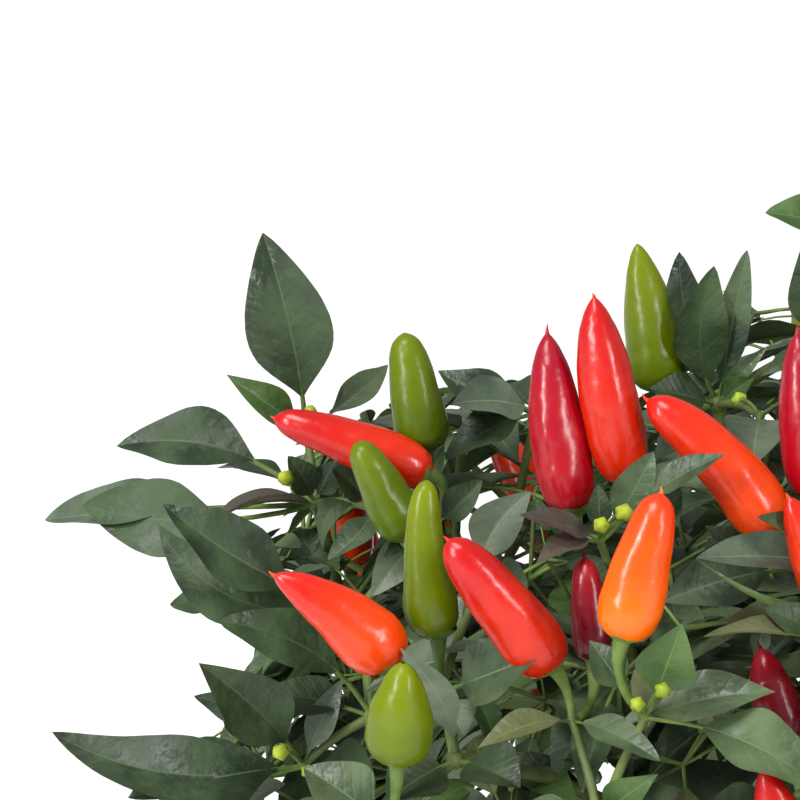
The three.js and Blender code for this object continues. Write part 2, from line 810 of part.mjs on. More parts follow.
// A three.js geometry as a manifold solid
function solidOf(geometry) {
  const bare = geometry.clone();
  for (const name of Object.keys(bare.attributes)) {
    if (name !== "position") bare.deleteAttribute(name);
  }
  const merged = mergeVertices(bare, 1e-4);
  return new wasm.Manifold(
    new wasm.Mesh({
      numProp: 3,
      vertProperties: merged.attributes.position.array,
      triVerts: new Uint32Array(merged.index.array),
    }),
  );
}

// A ring of corners round a point, counter-clockwise about the tangent
function ringAt(point, tangent, radius, sides, start) {
  const across = start.clone().addScaledVector(tangent, -start.dot(tangent)).normalize();
  const other = tangent.clone().cross(across);
  return Array.from({ length: sides }, (_, k) => {
    const turn = (k * 2 * Math.PI) / sides;
    return along(along(point, across, radius * Math.cos(turn)), other, radius * Math.sin(turn));
  });
}

// The skin over a row of rings, without its ends. Each ring has as many corners as the one before, or twice
// as many, or is a point.
function skin(rings) {
  const faces = [];
  let start = 0;
  for (let i = 0; i + 1 < rings.length; i++) {
    const sides = rings[i].length;
    const step = rings[i + 1].length / sides;
    const next = start + sides;
    for (let k = 0; k < sides; k++) {
      const [a, b] = [start + k, start + ((k + 1) % sides)];
      if (rings[i + 1].length === 1) {
        faces.push([a, b, next]);
        continue;
      }
      const [c, d] = [next + k * step, next + ((k + 1) % sides) * step];
      if (step === 2) faces.push([a, b, c + 1], [a, c + 1, c], [b, d, c + 1]);
      else faces.push([a, b, d], [a, d, c]);
    }
    start = next;
  }
  return faces;
}

// A row of rings as a solid, closed at both ends
function closed(rings) {
  const corners = rings.flat();
  const faces = skin(rings);
  const last = rings.at(-1).length;
  const first = corners.length - last;
  for (let k = 1; k + 1 < rings[0].length; k++) faces.push([0, k + 1, k]);
  for (let k = 1; k + 1 < last; k++) faces.push([first, first + k, first + k + 1]);
  return solid(corners, faces);
}

// A closed tube through a path, with flat ends
function tube(path, radii, sides) {
  let across = null;
  const rings = path.map((point, i) => {
    const before = path[Math.max(0, i - 1)];
    const after = path[Math.min(path.length - 1, i + 1)];
    const tangent = after.clone().sub(before).normalize();
    const ring = ringAt(point, tangent, radii[i], sides, across || square(tangent, 0));
    across = ring[0].clone().sub(point);
    return ring;
  });
  return closed(rings);
}

// A leaf's rings beyond its root: the blade's foot, its sections and its tip
function leafRings(leaf, fullness) {
  const foot = leaf.line.getPoint(leaf.start);
  const stalk = [
    along(along(foot, leaf.across, -PETIOLE_RADIUS), leaf.normal, PETIOLE_RADIUS * 0.5),
    along(along(foot, leaf.across, PETIOLE_RADIUS), leaf.normal, PETIOLE_RADIUS * 0.5),
    along(foot, leaf.normal, -PETIOLE_RADIUS),
  ];
  return [stalk, ...fullness.map(([share, full]) => leafSection(leaf, share, full)), [leaf.tip]];
}

// A fruit's rings beyond its root: the bent pedicel, round shoulders, a long taper and a blunt point
function fruitRings(node, fruit) {
  const heading = fruit.tip.clone().sub(fruit.foot);
  const length = heading.length();
  heading.normalize();
  const bend = along(fruit.foot, heading, -PEDICEL_BEND * node.distanceTo(fruit.foot));
  const line = new THREE.QuadraticBezierCurve3(node, bend, fruit.foot);
  const start = square(heading, 0);
  const profile = FRUIT_PROFILE.map(([wide, share]) => {
    const middle = along(fruit.foot, heading, share * length);
    return ringAt(middle, heading, (wide * fruit.girth) / 2, FRUIT_SIDES, start);
  });
  return [
    ringAt(line.getPoint(0.5), line.getTangent(0.5), PEDICEL_RADIUS, TWIG_SIDES, start),
    ringAt(fruit.foot, heading, PEDICEL_RADIUS * CALYX_GROWTH, TWIG_SIDES, start),
    ...profile,
    [fruit.tip],
  ];
}

// The middle of some points
const middleOf = (points) =>
  points.reduce((sum, point) => sum.add(point), vec(0, 0, 0)).divideScalar(points.length);

// A ring turned so that its corners face those of the next one
function turnedTo(ring, next, place) {
  const turns = [0, 1, 2].map((shift) => ring.map((_, k) => ring[(k + shift) % 3]));
  const step = next.length / 3;
  const apart = (turned) =>
    turned.reduce((sum, corner, k) => sum + place(corner).distanceTo(next[k * step]), 0);
  return turns.reduce((best, turned) => (apart(turned) < apart(best) ? turned : best));
}

// The skin of one mass while it grows. Every node is a twenty-sided knob, and each twig, stalk and pedicel
// grows out of one face of it. What would cross something already there is refused.
class Skin {
  corners = [];
  faces = [];
  knobs = new Map();
  bodies = [];

  addKnob(point, radius) {
    const ball = new THREE.IcosahedronGeometry(radius, 0).deleteAttribute("normal").deleteAttribute("uv");
    const shape = mergeVertices(ball);
    const at = this.corners.length;
    for (let i = 0; i < shape.attributes.position.count; i++) {
      this.corners.push(vec(0, 0, 0).fromBufferAttribute(shape.attributes.position, i).add(point));
    }
    const open = [];
    for (let i = 0; i < shape.index.count; i += 3) {
      const ring = [0, 1, 2].map((k) => at + shape.index.getX(i + k));
      const centre = middleOf(ring.map((corner) => this.corners[corner]));
      open.push({ ring, outward: centre.sub(point).normalize() });
    }
    this.knobs.set(point, open);
    this.bodies.push(solidOf(shape.translate(point.x, point.y, point.z)));
  }

  // The free face of a knob that looks most nearly in a direction
  openFace(point, direction) {
    const faces = this.knobs.get(point);
    const best = faces.reduce((a, b) => (b.outward.dot(direction) > a.outward.dot(direction) ? b : a));
    return best.outward.dot(direction) > FACE_SLANT ? best : null;
  }

  crosses(body) {
    const box = body.boundingBox();
    return this.bodies.some((other) => {
      const near = other.boundingBox();
      if ([0, 1, 2].some((k) => near.min[k] > box.max[k] || box.min[k] > near.max[k])) return false;
      return other.intersect(body).volume() > CROSSING;
    });
  }

  // Grows rings out of a knob's face, and into a face of a second knob if there is one
  grow(point, rings, end) {
    const from = this.openFace(point, middleOf(rings[0]).sub(point).normalize());
    if (!from) return false;
    const place = (corner) => this.corners[corner];
    const root = turnedTo(from.ring, rings[0], place);
    let into = null;
    let close = [];
    if (end) {
      const last = rings.at(-1);
      into = this.openFace(end, middleOf(last).sub(end).normalize());
      if (!into) return false;
      close = turnedTo([...into.ring].reverse(), last, place);
    }
    const whole = [root.map(place), ...rings, ...(end ? [close.map(place)] : [])];
    const body = closed(whole);
    if (this.crosses(body)) return false;
    this.bodies.push(body);
    const own = rings.flat();
    const at = this.corners.length;
    this.corners.push(...own);
    const index = [...root, ...own.map((_, i) => at + i), ...close];
    this.faces.push(...skin(whole).map((face) => face.map((i) => index[i])));
    for (const [used, knob] of [[from, point], ...(into ? [[into, end]] : [])]) {
      this.knobs.get(knob).splice(this.knobs.get(knob).indexOf(used), 1);
    }
    return true;
  }

  solid() {
    const rest = [...this.knobs.values()].flat().map((face) => face.ring);
    return solid(this.corners, [...this.faces, ...rest]);
  }
}

// One mass: its twigs, leaves and fruit, in one skin. What the view shows and the skin refuses is fused on.
function massSolid(mass, sprays) {
  const own = sprays.filter((spray) => spray.mass === mass);
  const start = along(mass.root, mass.heading, STUB_LENGTH);
  const twigs = growTwigs(start, own);
  const leaving = (point) => twigs.filter((twig) => twig.from === point).map((twig) => twig.fromRadius);
  const arriving = (point) => twigs.filter((twig) => twig.to === point).map((twig) => twig.toRadius);
  const thickest = (point) => Math.max(...leaving(point), ...arriving(point));
  const grown = new Skin();
  const grafts = [tube([mass.root, start], [BOUGH_TIP_RADIUS, BOUGH_TIP_RADIUS], BOUGH_SIDES)];
  for (const point of [start, ...own.map((spray) => spray.point)]) {
    grown.addKnob(point, KNOB_GROWTH * thickest(point));
  }
  const graft = (point, rings) => {
    const heading = rings[0][0].clone().sub(point).normalize();
    const root = ringAt(point, heading, PETIOLE_RADIUS, TWIG_SIDES, rings[0][0].clone().sub(rings[0][1]));
    grafts.push(closed([turnedTo(root, rings[0], (corner) => corner), ...rings]));
  };
  for (const { from, to, fromRadius, toRadius } of twigs) {
    const middle = along(mix(from, to, 0.5), UP, TWIG_BOW * from.distanceTo(to));
    const heading = to.clone().sub(from).normalize();
    const halfWay = ringAt(middle, heading, (fromRadius + toRadius) / 2, TWIG_SIDES, square(heading, 0));
    if (grown.grow(from, [halfWay], to)) continue;
    grafts.push(tube([from, middle, to], [fromRadius, fromRadius, toRadius], TWIG_SIDES));
  }
  for (const spray of own) {
    for (const fruit of spray.fruits) {
      const rings = fruitRings(spray.point, fruit);
      if (!grown.grow(spray.point, rings, null) && spray.shown) graft(spray.point, rings);
    }
  }
  for (const spray of own) {
    for (const leaf of spray.leaves) {
      const rings = leafRings(leaf, spray.shown ? SHOWN_FULLNESS : RULE_FULLNESS);
      if (!grown.grow(spray.point, rings, null) && spray.shown) graft(spray.point, rings);
    }
  }
  const bodies = wasm.Manifold.union([grown.solid(), ...grafts]).decompose();
  return bodies.reduce((best, body) => (body.volume() > best.volume() ? body : best));
}

function meshOf(name, made, material) {
  const { numProp, vertProperties, triVerts } = made.getMesh();
  const geometry = new THREE.BufferGeometry();
  const count = vertProperties.length / numProp;
  const positions = new Float32Array(count * 3);
  for (let i = 0; i < count; i++) {
    positions.set(vertProperties.subarray(i * numProp, i * numProp + 3), i * 3);
  }
  geometry.setAttribute("position", new THREE.BufferAttribute(positions, 3));
  geometry.setIndex(new THREE.BufferAttribute(triVerts, 1));
  geometry.computeVertexNormals();
  const mesh = new THREE.Mesh(geometry, material);
  mesh.name = name;
  return mesh;
}

const bark = new THREE.MeshStandardMaterial({ color: 0x6f7a45, roughness: 0.8, metalness: 0 });
const foliage = new THREE.MeshStandardMaterial({ color: 0x3d5a35, roughness: 0.5, metalness: 0 });

// The whole plant
function plant() {
  const group = new THREE.Group();
  const allLimbs = limbs();
  const allMasses = masses(allLimbs);
  const sprays = growth(allLimbs, allMasses);
  const [stem, leader, ...boughs] = allLimbs;
  const roomy = stem.radii.map((radius) => radius + CLEARANCE);
  const stemRoom = tube(stem.path, roomy, STEM_SIDES);
  group.add(meshOf(stem.name, tube(stem.path, stem.radii, STEM_SIDES), bark));
  group.add(meshOf(leader.name, tube(leader.path, leader.radii, BOUGH_SIDES), bark));
  for (const bough of boughs) {
    group.add(meshOf(bough.name, tube(bough.path, bough.radii, BOUGH_SIDES).subtract(stemRoom), bark));
  }
  for (const mass of allMasses) group.add(meshOf(mass.name, massSolid(mass, sprays), foliage));
  return group;
}

export default plant();
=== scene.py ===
# An ornamental chilli pepper plant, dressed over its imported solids.
# Its growth follows the rule of the part's source, written again here, and goes on to finer sprays. The
# sizes and the table of what the photo shows are the source's too. Growth is worked out in millimetres, and
# turned into metres where a mesh is made.
import json
from types import SimpleNamespace

import bpy
import numpy as np
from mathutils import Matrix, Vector, noise
from numpy import cos, pi, radians, sin
from numpy.linalg import norm

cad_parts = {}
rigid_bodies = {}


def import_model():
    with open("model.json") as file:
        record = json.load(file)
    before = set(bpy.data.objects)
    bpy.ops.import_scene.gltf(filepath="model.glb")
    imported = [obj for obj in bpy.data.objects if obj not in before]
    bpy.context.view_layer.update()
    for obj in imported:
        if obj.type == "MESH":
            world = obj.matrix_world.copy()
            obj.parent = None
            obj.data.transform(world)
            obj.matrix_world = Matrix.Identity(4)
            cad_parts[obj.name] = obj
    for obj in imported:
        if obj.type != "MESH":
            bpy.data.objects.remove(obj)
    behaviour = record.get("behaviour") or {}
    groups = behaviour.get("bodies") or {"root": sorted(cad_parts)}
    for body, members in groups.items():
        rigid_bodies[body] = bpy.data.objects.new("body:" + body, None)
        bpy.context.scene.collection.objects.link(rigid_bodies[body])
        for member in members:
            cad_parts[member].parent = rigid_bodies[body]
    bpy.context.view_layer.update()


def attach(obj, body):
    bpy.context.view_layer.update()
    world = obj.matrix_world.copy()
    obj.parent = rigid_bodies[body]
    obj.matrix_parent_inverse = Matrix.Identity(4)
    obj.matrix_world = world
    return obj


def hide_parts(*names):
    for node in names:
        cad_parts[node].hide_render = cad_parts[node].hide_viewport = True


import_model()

MM = 0.001
scene = bpy.context.scene

# The crown
CROWN_REACH, CROWN_TOP, CROWN_FOOT = 180, 286, 60
RIM_TOP, RIM_FOOT = 200, 120
DOME_POWER, BOWL_POWER = 1.3, 2
CROWN_HEART = np.array([0, 0, 110.0])

# The stem and the boughs
STEM_PATH = [(0, 0, 0), (0, 0, 6), (0.4, 0.3, 14), (1.2, 0, 34), (1.5, -1, 60)]
STEM_RADII = [7.2, 5.5, 4.6, 4.2, 3.6]
LEADER_PATH = [(1.5, -1, 60.3), (1.5, -1, 68), (-1.5, 2, 98), (1.5, -1.5, 138), (0, 0, 176)]
LEADER_RADII = [3.3, 3.1, 2.8, 2.4, 2.1]
BOUGH_RADIUS, BOUGH_TIP_RADIUS, BOUGH_REACH, BOUGH_RISE = 2.8, 2.1, 58, 114
BOUGH_BEND, BOUGH_POINTS = (0.42, 0.3), 6
CLEARANCE = 0.3
STUB_LENGTH = 6

# Twigs, leaves and fruit
TWIG_RADIUS, TWIG_POWER, TWIG_BOW, WAY_COST = 0.95, 0.4, 0.05, 0.35
PETIOLE_RADIUS, PETIOLE_LENGTH = 0.5, 10
LEAF_SLENDERNESS, LEAF_ARCH, LEAF_FOLD, LEAST_SEEN = 2.1, 0.1, 0.12, 0.6
LEAF_TRIES = [(0, 1), (0.6, 0.9), (-0.7, 0.75), (0.2, 0.6)]
LEAF_OPENINGS, LEAF_OPEN_SPREAD = (98, 46), 16
LEAF_SIZES, LEAF_DROOPS, LEAF_TWIST = (0.86, 0.28), (0.04, 0.2), 0.5
NEAR_TIP = 0.85
SPRAY_RISE, FACE_RISE = 0.35, 0.5
FOOT_FULLNESS, WIDEST_SHARE = 0.3, 0.4
FRUIT_LENGTH, FRUIT_GIRTH, FRUIT_HIDDEN = 42, 15, 55
FRUIT_SIZES, FRUIT_GIRTHS, FRUIT_LEANS = (0.8, 0.35), (0.85, 0.25), (0.15, 0.5)
FRUIT_TILT, FRUIT_CHANCES = 0.3, (0.25, 0.9)
PEDICEL_LENGTH, PEDICEL_BEND = 15, 0.5

# The rule that spreads sprays through the crown: how many and in how many throws, the gap between them, how
# far behind the shown ones they lie, the crown's heart that stays free, and the leaves of each
GROWN = SimpleNamespace(
    kind="grown", count=120, throws=12000, gap=36, behind=16,
    heart_reach=80, heart_depth=90, leaves=6, lengths=(56, 36),
)
THROW_EDGE, THROW_FOOT, THROW_TOP, THROW_RISE = 34, 14, 22, 0.7
NODE_ROOM, NODE_INSIDE, LIMB_ROOM, SPACE_ROOM = 12, 7.2, 6, 0.4
GOLDEN_TURN = radians(137.5)
SEED = 20417

# The finer sprays, which only this script grows
FINE = SimpleNamespace(
    kind="fine", count=300, throws=26000, gap=20, behind=12,
    heart_reach=110, heart_depth=120, leaves=5, lengths=(40, 24),
)
FINE_RADIUS, FRUIT_ROOM = 0.6, 1.5

# The reference view
VIEW_DISTANCE, VIEW_HALF = 1400, 100
VIEW_RISE = radians(8)
VIEW_AIM = np.array([-90, 0, 230.0])
VIEW_SIDE_MARGIN, VIEW_FOOT_MARGIN = 15, 10
SKY_ROOM, SHOWN_FRUIT_ROOM, SHOWN_LEAF_ROOM, SHOWN_DEPTH = 1, 2, 0.4, 4

# The masses round the leader: name, turn of the bough in degrees, height of its fork
RING_MASSES = [
    ("right", 31, 36),
    ("back", 82, 48),
    ("back_left", 133, 40),
    ("left", 183, 51),
    ("front", 257, 38),
    ("front_right", 331, 46),
]
RING_CENTRE_REACH, RING_CENTRE_HEIGHT, TOP_CENTRE_HEIGHT = 100, 206, 273

# Sprays that the reference view shows: the node's place and depth, the tone of its leaves, then each
# leaf's tip, width as seen, turn of its face, share of its blade, bow to the right of the way to its tip,
# and its own tone where it differs. A fruit is its tip, foot, girth, ripeness, outline and bow.
SHOWN_SPRAYS = [
    ((-23.5, -7, 18), "mid", [
        (-34.3, 41.8, 24, 21.5, 80, 0.82, 0.03, "dark"),
        (-43.3, 6.3, 30, 8.5, 55, 0.87, -0.07, "fresh"),
        (-3, 8.8, 5, 8, 60, 0.76, 0.07),
    ], []),
    ((-21, -26, 28), "mid", [
        (-70.8, -11.5, 18, 15, 45, 0.66, 0.09, "dark"),
        (-45.8, -17, 6, 6.5, 25, 0.67, 0.03, "dark"),
        (-79.5, -26.3, 22, 19, 60, 0.62, -0.11, "dark"),
        (-88.8, -30, 4, 12, 30, 0.6, -0.11, "grey"),
        (-46.5, -30, 46, 7, 5, 0.93, 0, "plum"),
        (-28, -14, 38, 8, 60, 0.75, 0),
        (-16, -15, 34, 8, 60, 0.75, 0, "dark"),
    ], []),
    ((-7, -27, 44), "mid", [
        (-19.5, -37, 50, 6, 60, 0.8, 0.35, "dark"),
        (-18, -40, 60, 8, 40, 0.8, -0.12),
        (-17, -17, 50, 9, 50, 0.75, 0, "dark"),
    ], []),
    ((-10, -52.5, 62), "dark", [
        (-59.3, -26, 70, 17, 55, 0.65, -0.105),
        (-60.5, -31, 48, 15, 50, 0.85, -0.24),
        (-57.5, -51, 34, 8, 40, 0.4, -0.05),
        (-47, -55, 62, 14, 40, 0.8, 0, "plum"),
    ], []),
    ((-7, -79, 66), "dark", [
        (-45.3, -55.3, 80, 13, 50, 0.68, 0.08),
        (-34, -74, 62, 10, 45, 0.75, 0),
    ], []),
    ((-24.3, -91.3, 64), "mid", [
        (-50.3, -65.8, 82, 17, 75, 0.76, 0.04, "dark"),
        (-51.5, -74, 46, 8, 50, 0.7, 0.04, "dark"),
        (-14.3, -69.5, 66, 7.5, 65, 0.84, 0, "grey"),
        (-87, -83, 56, 16, 45, 0.92, -0.18, "dark"),
        (-68, -99.5, 72, 16, 40, 0.85, -0.05, "dark"),
        (-62, -108, 60, 18, 45, 0.8, 0),
        (-6, -96, 62, 15, 55, 0.8, 0, "dark"),
    ], []),
    ((10, -73, 104), "grey", [
        (34.5, -63.8, 126, 15.5, 65, 0.68, 0.04, "mid"),
        (16, -84, 116, 11, 50, 0.7, 0),
    ], [
        (6.8, -20, 108, 9.5, -59.3, 108, 14, "lime", "waisted", -0.05),
        (-31.5, -43.8, 120, -1.5, -66, 116, 17, "orange_red", "tapered", 0.05),
    ]),
    ((14, -90, 116), "dark", [
        (0, -62, 122, 8, 70, 0.8, 0.09, "grey"),
        (30, -97, 132, 14, 50, 0.75, 0),
        (-3, -100, 128, 15, 55, 0.75, 0),
    ], []),
    ((-2.5, -108, 124), "mid", [
        (-24, -92, 118, 15, 50, 0.8, 0),
        (-34, -116, 124, 16, 40, 0.8, 0),
        (18, -112, 136, 15, 45, 0.8, 0),
    ], [(0.8, -65.8, 140, -0.5, -90.5, 134, 17, "lime", "fat", 0)]),
    ((43, -80, 120), "mid", [
        (19.5, -87, 138, 7, 40, 0.85, 0, "olive"),
        (65, -90.3, 138, 7.5, 50, 0.85, 0),
    ], [
        (12, -35, 125, 38.5, -67, 118, 16.5, "red", "blunt", 0),
        (46, -39.3, 94, 48.5, -65, 98, 10.5, "dark_red", "blunt", 0),
    ]),
    ((61.3, -79.3, 132), "mid", [
        (70.5, -56, 146, 14, 85, 0.65, 0, "fresh"),
        (93.8, -73, 138, 12, 50, 0.95, 0),
        (106, -97.5, 148, 15, 45, 0.68, -0.03),
        (47.4, -60.2, 130, 9, 80, 0.62, 0),
    ], [(65.3, -23.3, 138, 55.5, -60, 140, 16, "orange", "blunt", 0)]),
    ((50, -35, 84), "plum", [
        (29.8, -28.8, 100, 7, 45, 0.8, -0.06),
        (34, -41, 104, 7, 35, 0.8, 0),
        (63.3, -13, 94, 10, 80, 0.7, 0.03, "mid"),
        (49.5, -21, 90, 6, 60, 0.7, 0, "mid"),
        (81.3, -13.5, 100, 7, 50, 0.52, 0, "mid"),
    ], [
        (36.8, 16.8, 70, 43.5, -29, 76, 15, "crimson", "straight", -0.02),
        (48.5, 25.8, 76, 57, -20.5, 76, 15.5, "red", "straight", -0.02),
    ]),
    ((19.5, -48, 84), "mid", [
        (32.6, -23, 84, 12, 65, 0.73, -0.12, "grey"),
        (32, -47, 96, 12, 50, 0.75, 0, "dark"),
    ], []),
    ((79.5, -1, 10), "mid", [
        (69.8, 37, 8, 13, 80, 0.85, -0.07, "dark"),
        (78.5, 33.5, 18, 14, 60, 0.8, -0.12, "dark"),
        (86.8, 37.5, 16, 9, 55, 0.85, 0, "mid"),
        (91.8, 13.3, 20, 4.5, 60, 0.85, 0),
        (62.5, 3, 20, 9, 45, 0.75, -0.08, "dark"),
        (94, -2.5, 14, 3, 50, 0.8, 0, "dark"),
        (88.5, 5.5, 20, 7, 70, 0.7, 0, "fresh"),
    ], [(59.3, 39, 10, 65.5, 2.5, 10, 17, "lime", "tapered", 0)]),
    ((90, -4, 36), "grey", [
        (87.9, -17, 62, 16, 40, 0.8, 0),
        (99, -14, 44, 9, 60, 0.8, 0, "dark"),
    ], []),
    ((108, -41.5, 92), "grey", [
        (74, -39.5, 116, 12, 40, 0.85, -0.06),
        (74, -39.6, 121, 2.6, 60, 0.8, -0.3, "fresh"),
        (89.3, -29.3, 118, 9, 60, 0.8, 0, "mid"),
        (65.5, -50.5, 108, 14, 50, 0.6, 0, "dark"),
    ], [
        (61.8, 0, 82, 94, -34, 86, 16, "orange_red", "blunt", 0.06),
        (97, -24.3, 116, 109.5, -50, 112, 15, "orange_red", "tapered", 0),
        (99.3, 16.8, 78, 103.8, -25, 80, 14.5, "crimson", "straight", 0),
    ]),
    ((110, -64, 114), "dark", [
        (75.8, -59.3, 134, 6, 15, 0.92, 0, "olive"),
        (91, -52, 122, 9, 50, 0.8, 0),
    ], []),
    ((104, 13, 12), "mid", [
        (101, 40, 22, 12, 75, 0.85, 0),
        (90.3, 6, 20, 5, 60, 0.8, 0, "dark"),
    ], []),
    ((113, 40, 0), "fresh", [
        (91.3, 46.8, 6, 11, 45, 0.85, 0),
        (103, 50, 8, 12, 60, 0.8, 0),
    ], []),
    ((100, -99, 126), "mid", [
        (74, -112, 142, 14, 45, 0.8, 0),
        (87, -100, 120, 12, 60, 0.75, 0),
    ], [
        (90, -62, 114, 96.8, -85.5, 118, 12, "dark_red", "straight", 0),
        (91, -91.5, 146, 100, -124, 142, 17, "red", "tapered", 0),
    ]),
    ((34, -3, 24), "dark", [
        (9.5, 7.3, 20, 11, 55, 0.86, -0.1),
        (13, -1, 36, 12, 40, 0.85, 0, "grey"),
        (11.3, -15, 34, 10, 40, 0.8, 0),
        (27, 4, 12, 12, 60, 0.8, 0),
    ], []),
    ((50, -105, 132), "dark", [
        (64.5, -93.5, 148, 9, 65, 0.85, 0, "fresh"),
        (28, -110, 146, 14, 50, 0.8, 0, "mid"),
    ], []),
    ((9, -31, 48), "dark", [
        (-4.5, -40, 64, 6, 60, 0.8, 0),
        (20.5, -20, 54, 8, 60, 0.8, 0.06),
        (-7, -49, 62, 10, 50, 0.8, 0, "grey"),
    ], [
        (1, 16.8, 40, 6.3, -13, 42, 14.5, "olive", "blunt", 0),
        (-31.5, -4.5, 50, 7.5, -18.5, 50, 13.5, "red", "blunt", 0.015),
        (-11, -10.5, 64, 1.5, -34.5, 62, 13, "olive", "blunt", 0.02),
    ]),
]

# Gaps where the reference view shows sky through the crown: place and radius
SKY_GAPS = np.array([
    (-13, -30, 3), (-7.5, -39, 3.5), (-16, -83, 3), (-33, -28, 2.5),
    (24, -15.5, 3.5), (23.5, -28, 5), (17.5, -33, 3), (29, -38, 2),
    (88, 9, 3.5), (93, -4, 2.5), (69, -24.5, 2), (66, -83, 2.5),
    (69, -90, 2.5), (80, -66.5, 2), (96.5, -73, 2.5), (51, -96, 3),
])

# The edge of the crown in the reference view
SKY_EDGE = [
    (-62, -400), (-62, -88), (-45, -84), (-42, -72), (-35, -60),
    (-44, -48), (-38, -32), (-30, -16), (-24, -8), (-8, -2),
    (8, 3), (30, 5), (36, -4), (58, 0), (68, 26),
    (86, 30), (96, 12), (100, 60), (400, 60), (400, -400),
]

# Flower buds that the reference view shows, which only this script has: place and depth
SHOWN_BUDS = [
    (-22.5, -3, 25), (-27.8, -19.8, 38), (-29.3, -88, 76), (-23.3, -92.5, 74), (59.5, -76, 146),
    (65.3, -72.8, 146), (55.5, -28.3, 98), (50.3, -31.3, 96), (85.3, 0, 24),
]

UP = np.array([0, 0, 1.0])
rng = np.random.default_rng(11)

drawn = SEED


# A small seeded sequence, the same as the source's
def draw():
    global drawn
    drawn = (drawn * 1664525 + 1013904223) % 2**32
    return drawn / 2**32


# A drawn number from the first of a pair, over a spread given by its second
def drawn_from(pair):
    return pair[0] + pair[1] * draw()


def vec(x, y, z):
    return np.array([x, y, z], float)


def unit(v):
    return v / norm(v)


def mix(a, b, t):
    return a + (b - a) * t


# A unit vector square to an axis, turned about it
def square(axis, turn):
    first = UP if abs(axis[2]) < 0.9 else vec(1, 0, 0)
    across = unit(np.cross(first, axis))
    return across * cos(turn) + np.cross(axis, across) * sin(turn)


def bezier(line, t):
    t = np.asarray(t, float)[..., None]
    return (1 - t) ** 2 * line[0] + 2 * t * (1 - t) * line[1] + t**2 * line[2]


VIEW_RIGHT = vec(1, 0, 0)
VIEW_UP = vec(0, sin(VIEW_RISE), cos(VIEW_RISE))
VIEW_BACK = vec(0, -cos(VIEW_RISE), sin(VIEW_RISE))
EYE = VIEW_AIM + VIEW_BACK * VIEW_DISTANCE


# The point that shows at (right, up) and lies at this depth in front of the axis
def placed(right, up, depth):
    sight = VIEW_AIM + VIEW_RIGHT * right + VIEW_UP * up - EYE
    return EYE + sight * (-depth - EYE[1]) / sight[1]


# Where a point shows in the reference view
def shows(point):
    sight = point - EYE
    scale = VIEW_DISTANCE / -(sight @ VIEW_BACK)
    return sight @ VIEW_RIGHT * scale, sight @ VIEW_UP * scale


def crown_top(reach):
    return CROWN_TOP - (CROWN_TOP - RIM_TOP) * min(1, reach / CROWN_REACH) ** DOME_POWER


def crown_foot(reach):
    return CROWN_FOOT + (RIM_FOOT - CROWN_FOOT) * min(1, reach / CROWN_REACH) ** BOWL_POWER


def in_crown(point):
    reach = np.hypot(point[0], point[1])
    return reach < CROWN_REACH and crown_foot(reach) < point[2] < crown_top(reach)


# The limbs, each a path with its radii, and the masses, each with its own space's centre and its root
def limbs_and_masses():
    limbs = {
        "main_stem": SimpleNamespace(path=np.array(STEM_PATH, float), radii=STEM_RADII),
        "leader": SimpleNamespace(path=np.array(LEADER_PATH, float), radii=LEADER_RADII),
    }
    masses = [SimpleNamespace(name="foliage_top", limb="leader", centre=vec(0, 0, TOP_CENTRE_HEIGHT))]
    fork_right, _, fork_height = STEM_PATH[-1]
    for name, degrees, height in RING_MASSES:
        out = vec(cos(radians(degrees)), sin(radians(degrees)), 0)
        foot = vec(fork_right * height / fork_height, 0, height)
        bend = foot + out * BOUGH_REACH * BOUGH_BEND[0] + UP * (BOUGH_RISE - height) * BOUGH_BEND[1]
        tip = out * BOUGH_REACH + UP * BOUGH_RISE
        path = bezier((foot, bend, tip), np.linspace(0, 1, BOUGH_POINTS))
        radii = list(np.linspace(BOUGH_RADIUS, BOUGH_TIP_RADIUS, BOUGH_POINTS))
        limbs[f"bough_{name}"] = SimpleNamespace(path=path, radii=radii)
        centre = out * RING_CENTRE_REACH + UP * RING_CENTRE_HEIGHT
        masses.append(SimpleNamespace(name=f"foliage_{name}", limb=f"bough_{name}", centre=centre))
    for mass in masses:
        before, tip = limbs[mass.limb].path[-2:]
        mass.heading = unit(tip - before)
        mass.root = tip + mass.heading * CLEARANCE
    return limbs, masses


LIMBS, MASSES = limbs_and_masses()
CENTRES = np.array([mass.centre for mass in MASSES])
FOLIAGE_NODES = [mass.name for mass in MASSES]


# How far a point lies inside a mass's own space
def inside(point, mass):
    own = MASSES.index(mass)
    others = np.delete(CENTRES, own, 0)
    squares = ((point - others) ** 2).sum(1) - ((point - mass.centre) ** 2).sum()
    return (squares / (2 * norm(others - mass.centre, axis=1))).min()


def mass_of(point):
    return MASSES[int(((point - CENTRES) ** 2).sum(1).argmin())]


# Distances from a point to pieces with these ends
def distances(point, starts, ends):
    ways = ends - starts
    share = np.clip(((point - starts) * ways).sum(1) / (ways**2).sum(1), 0, 1)
    return norm(starts + ways * share[:, None] - point, axis=1)


LIMB_STARTS = np.concatenate([limb.path[:-1] for limb in LIMBS.values()])
LIMB_ENDS = np.concatenate([limb.path[1:] for limb in LIMBS.values()])


def limb_distance(point):
    return distances(point, LIMB_STARTS, LIMB_ENDS).min()


# A leaf from its node to its tip, on an arch that bulges towards its face, and to its right by its bow
def leaf_at(node, tip, width, face, share, bow=0):
    chord = tip - node
    heading = unit(chord)
    across = unit(np.cross(heading, face))
    normal = unit(np.cross(across, heading))
    crest = mix(node, tip, 0.5) + (normal * LEAF_ARCH + across * bow) * 2 * norm(chord)
    return SimpleNamespace(
        node=node, tip=tip, width=width, tone=None,
        across=across, normal=normal, line=(node, crest, tip), start=1 - share,
    )


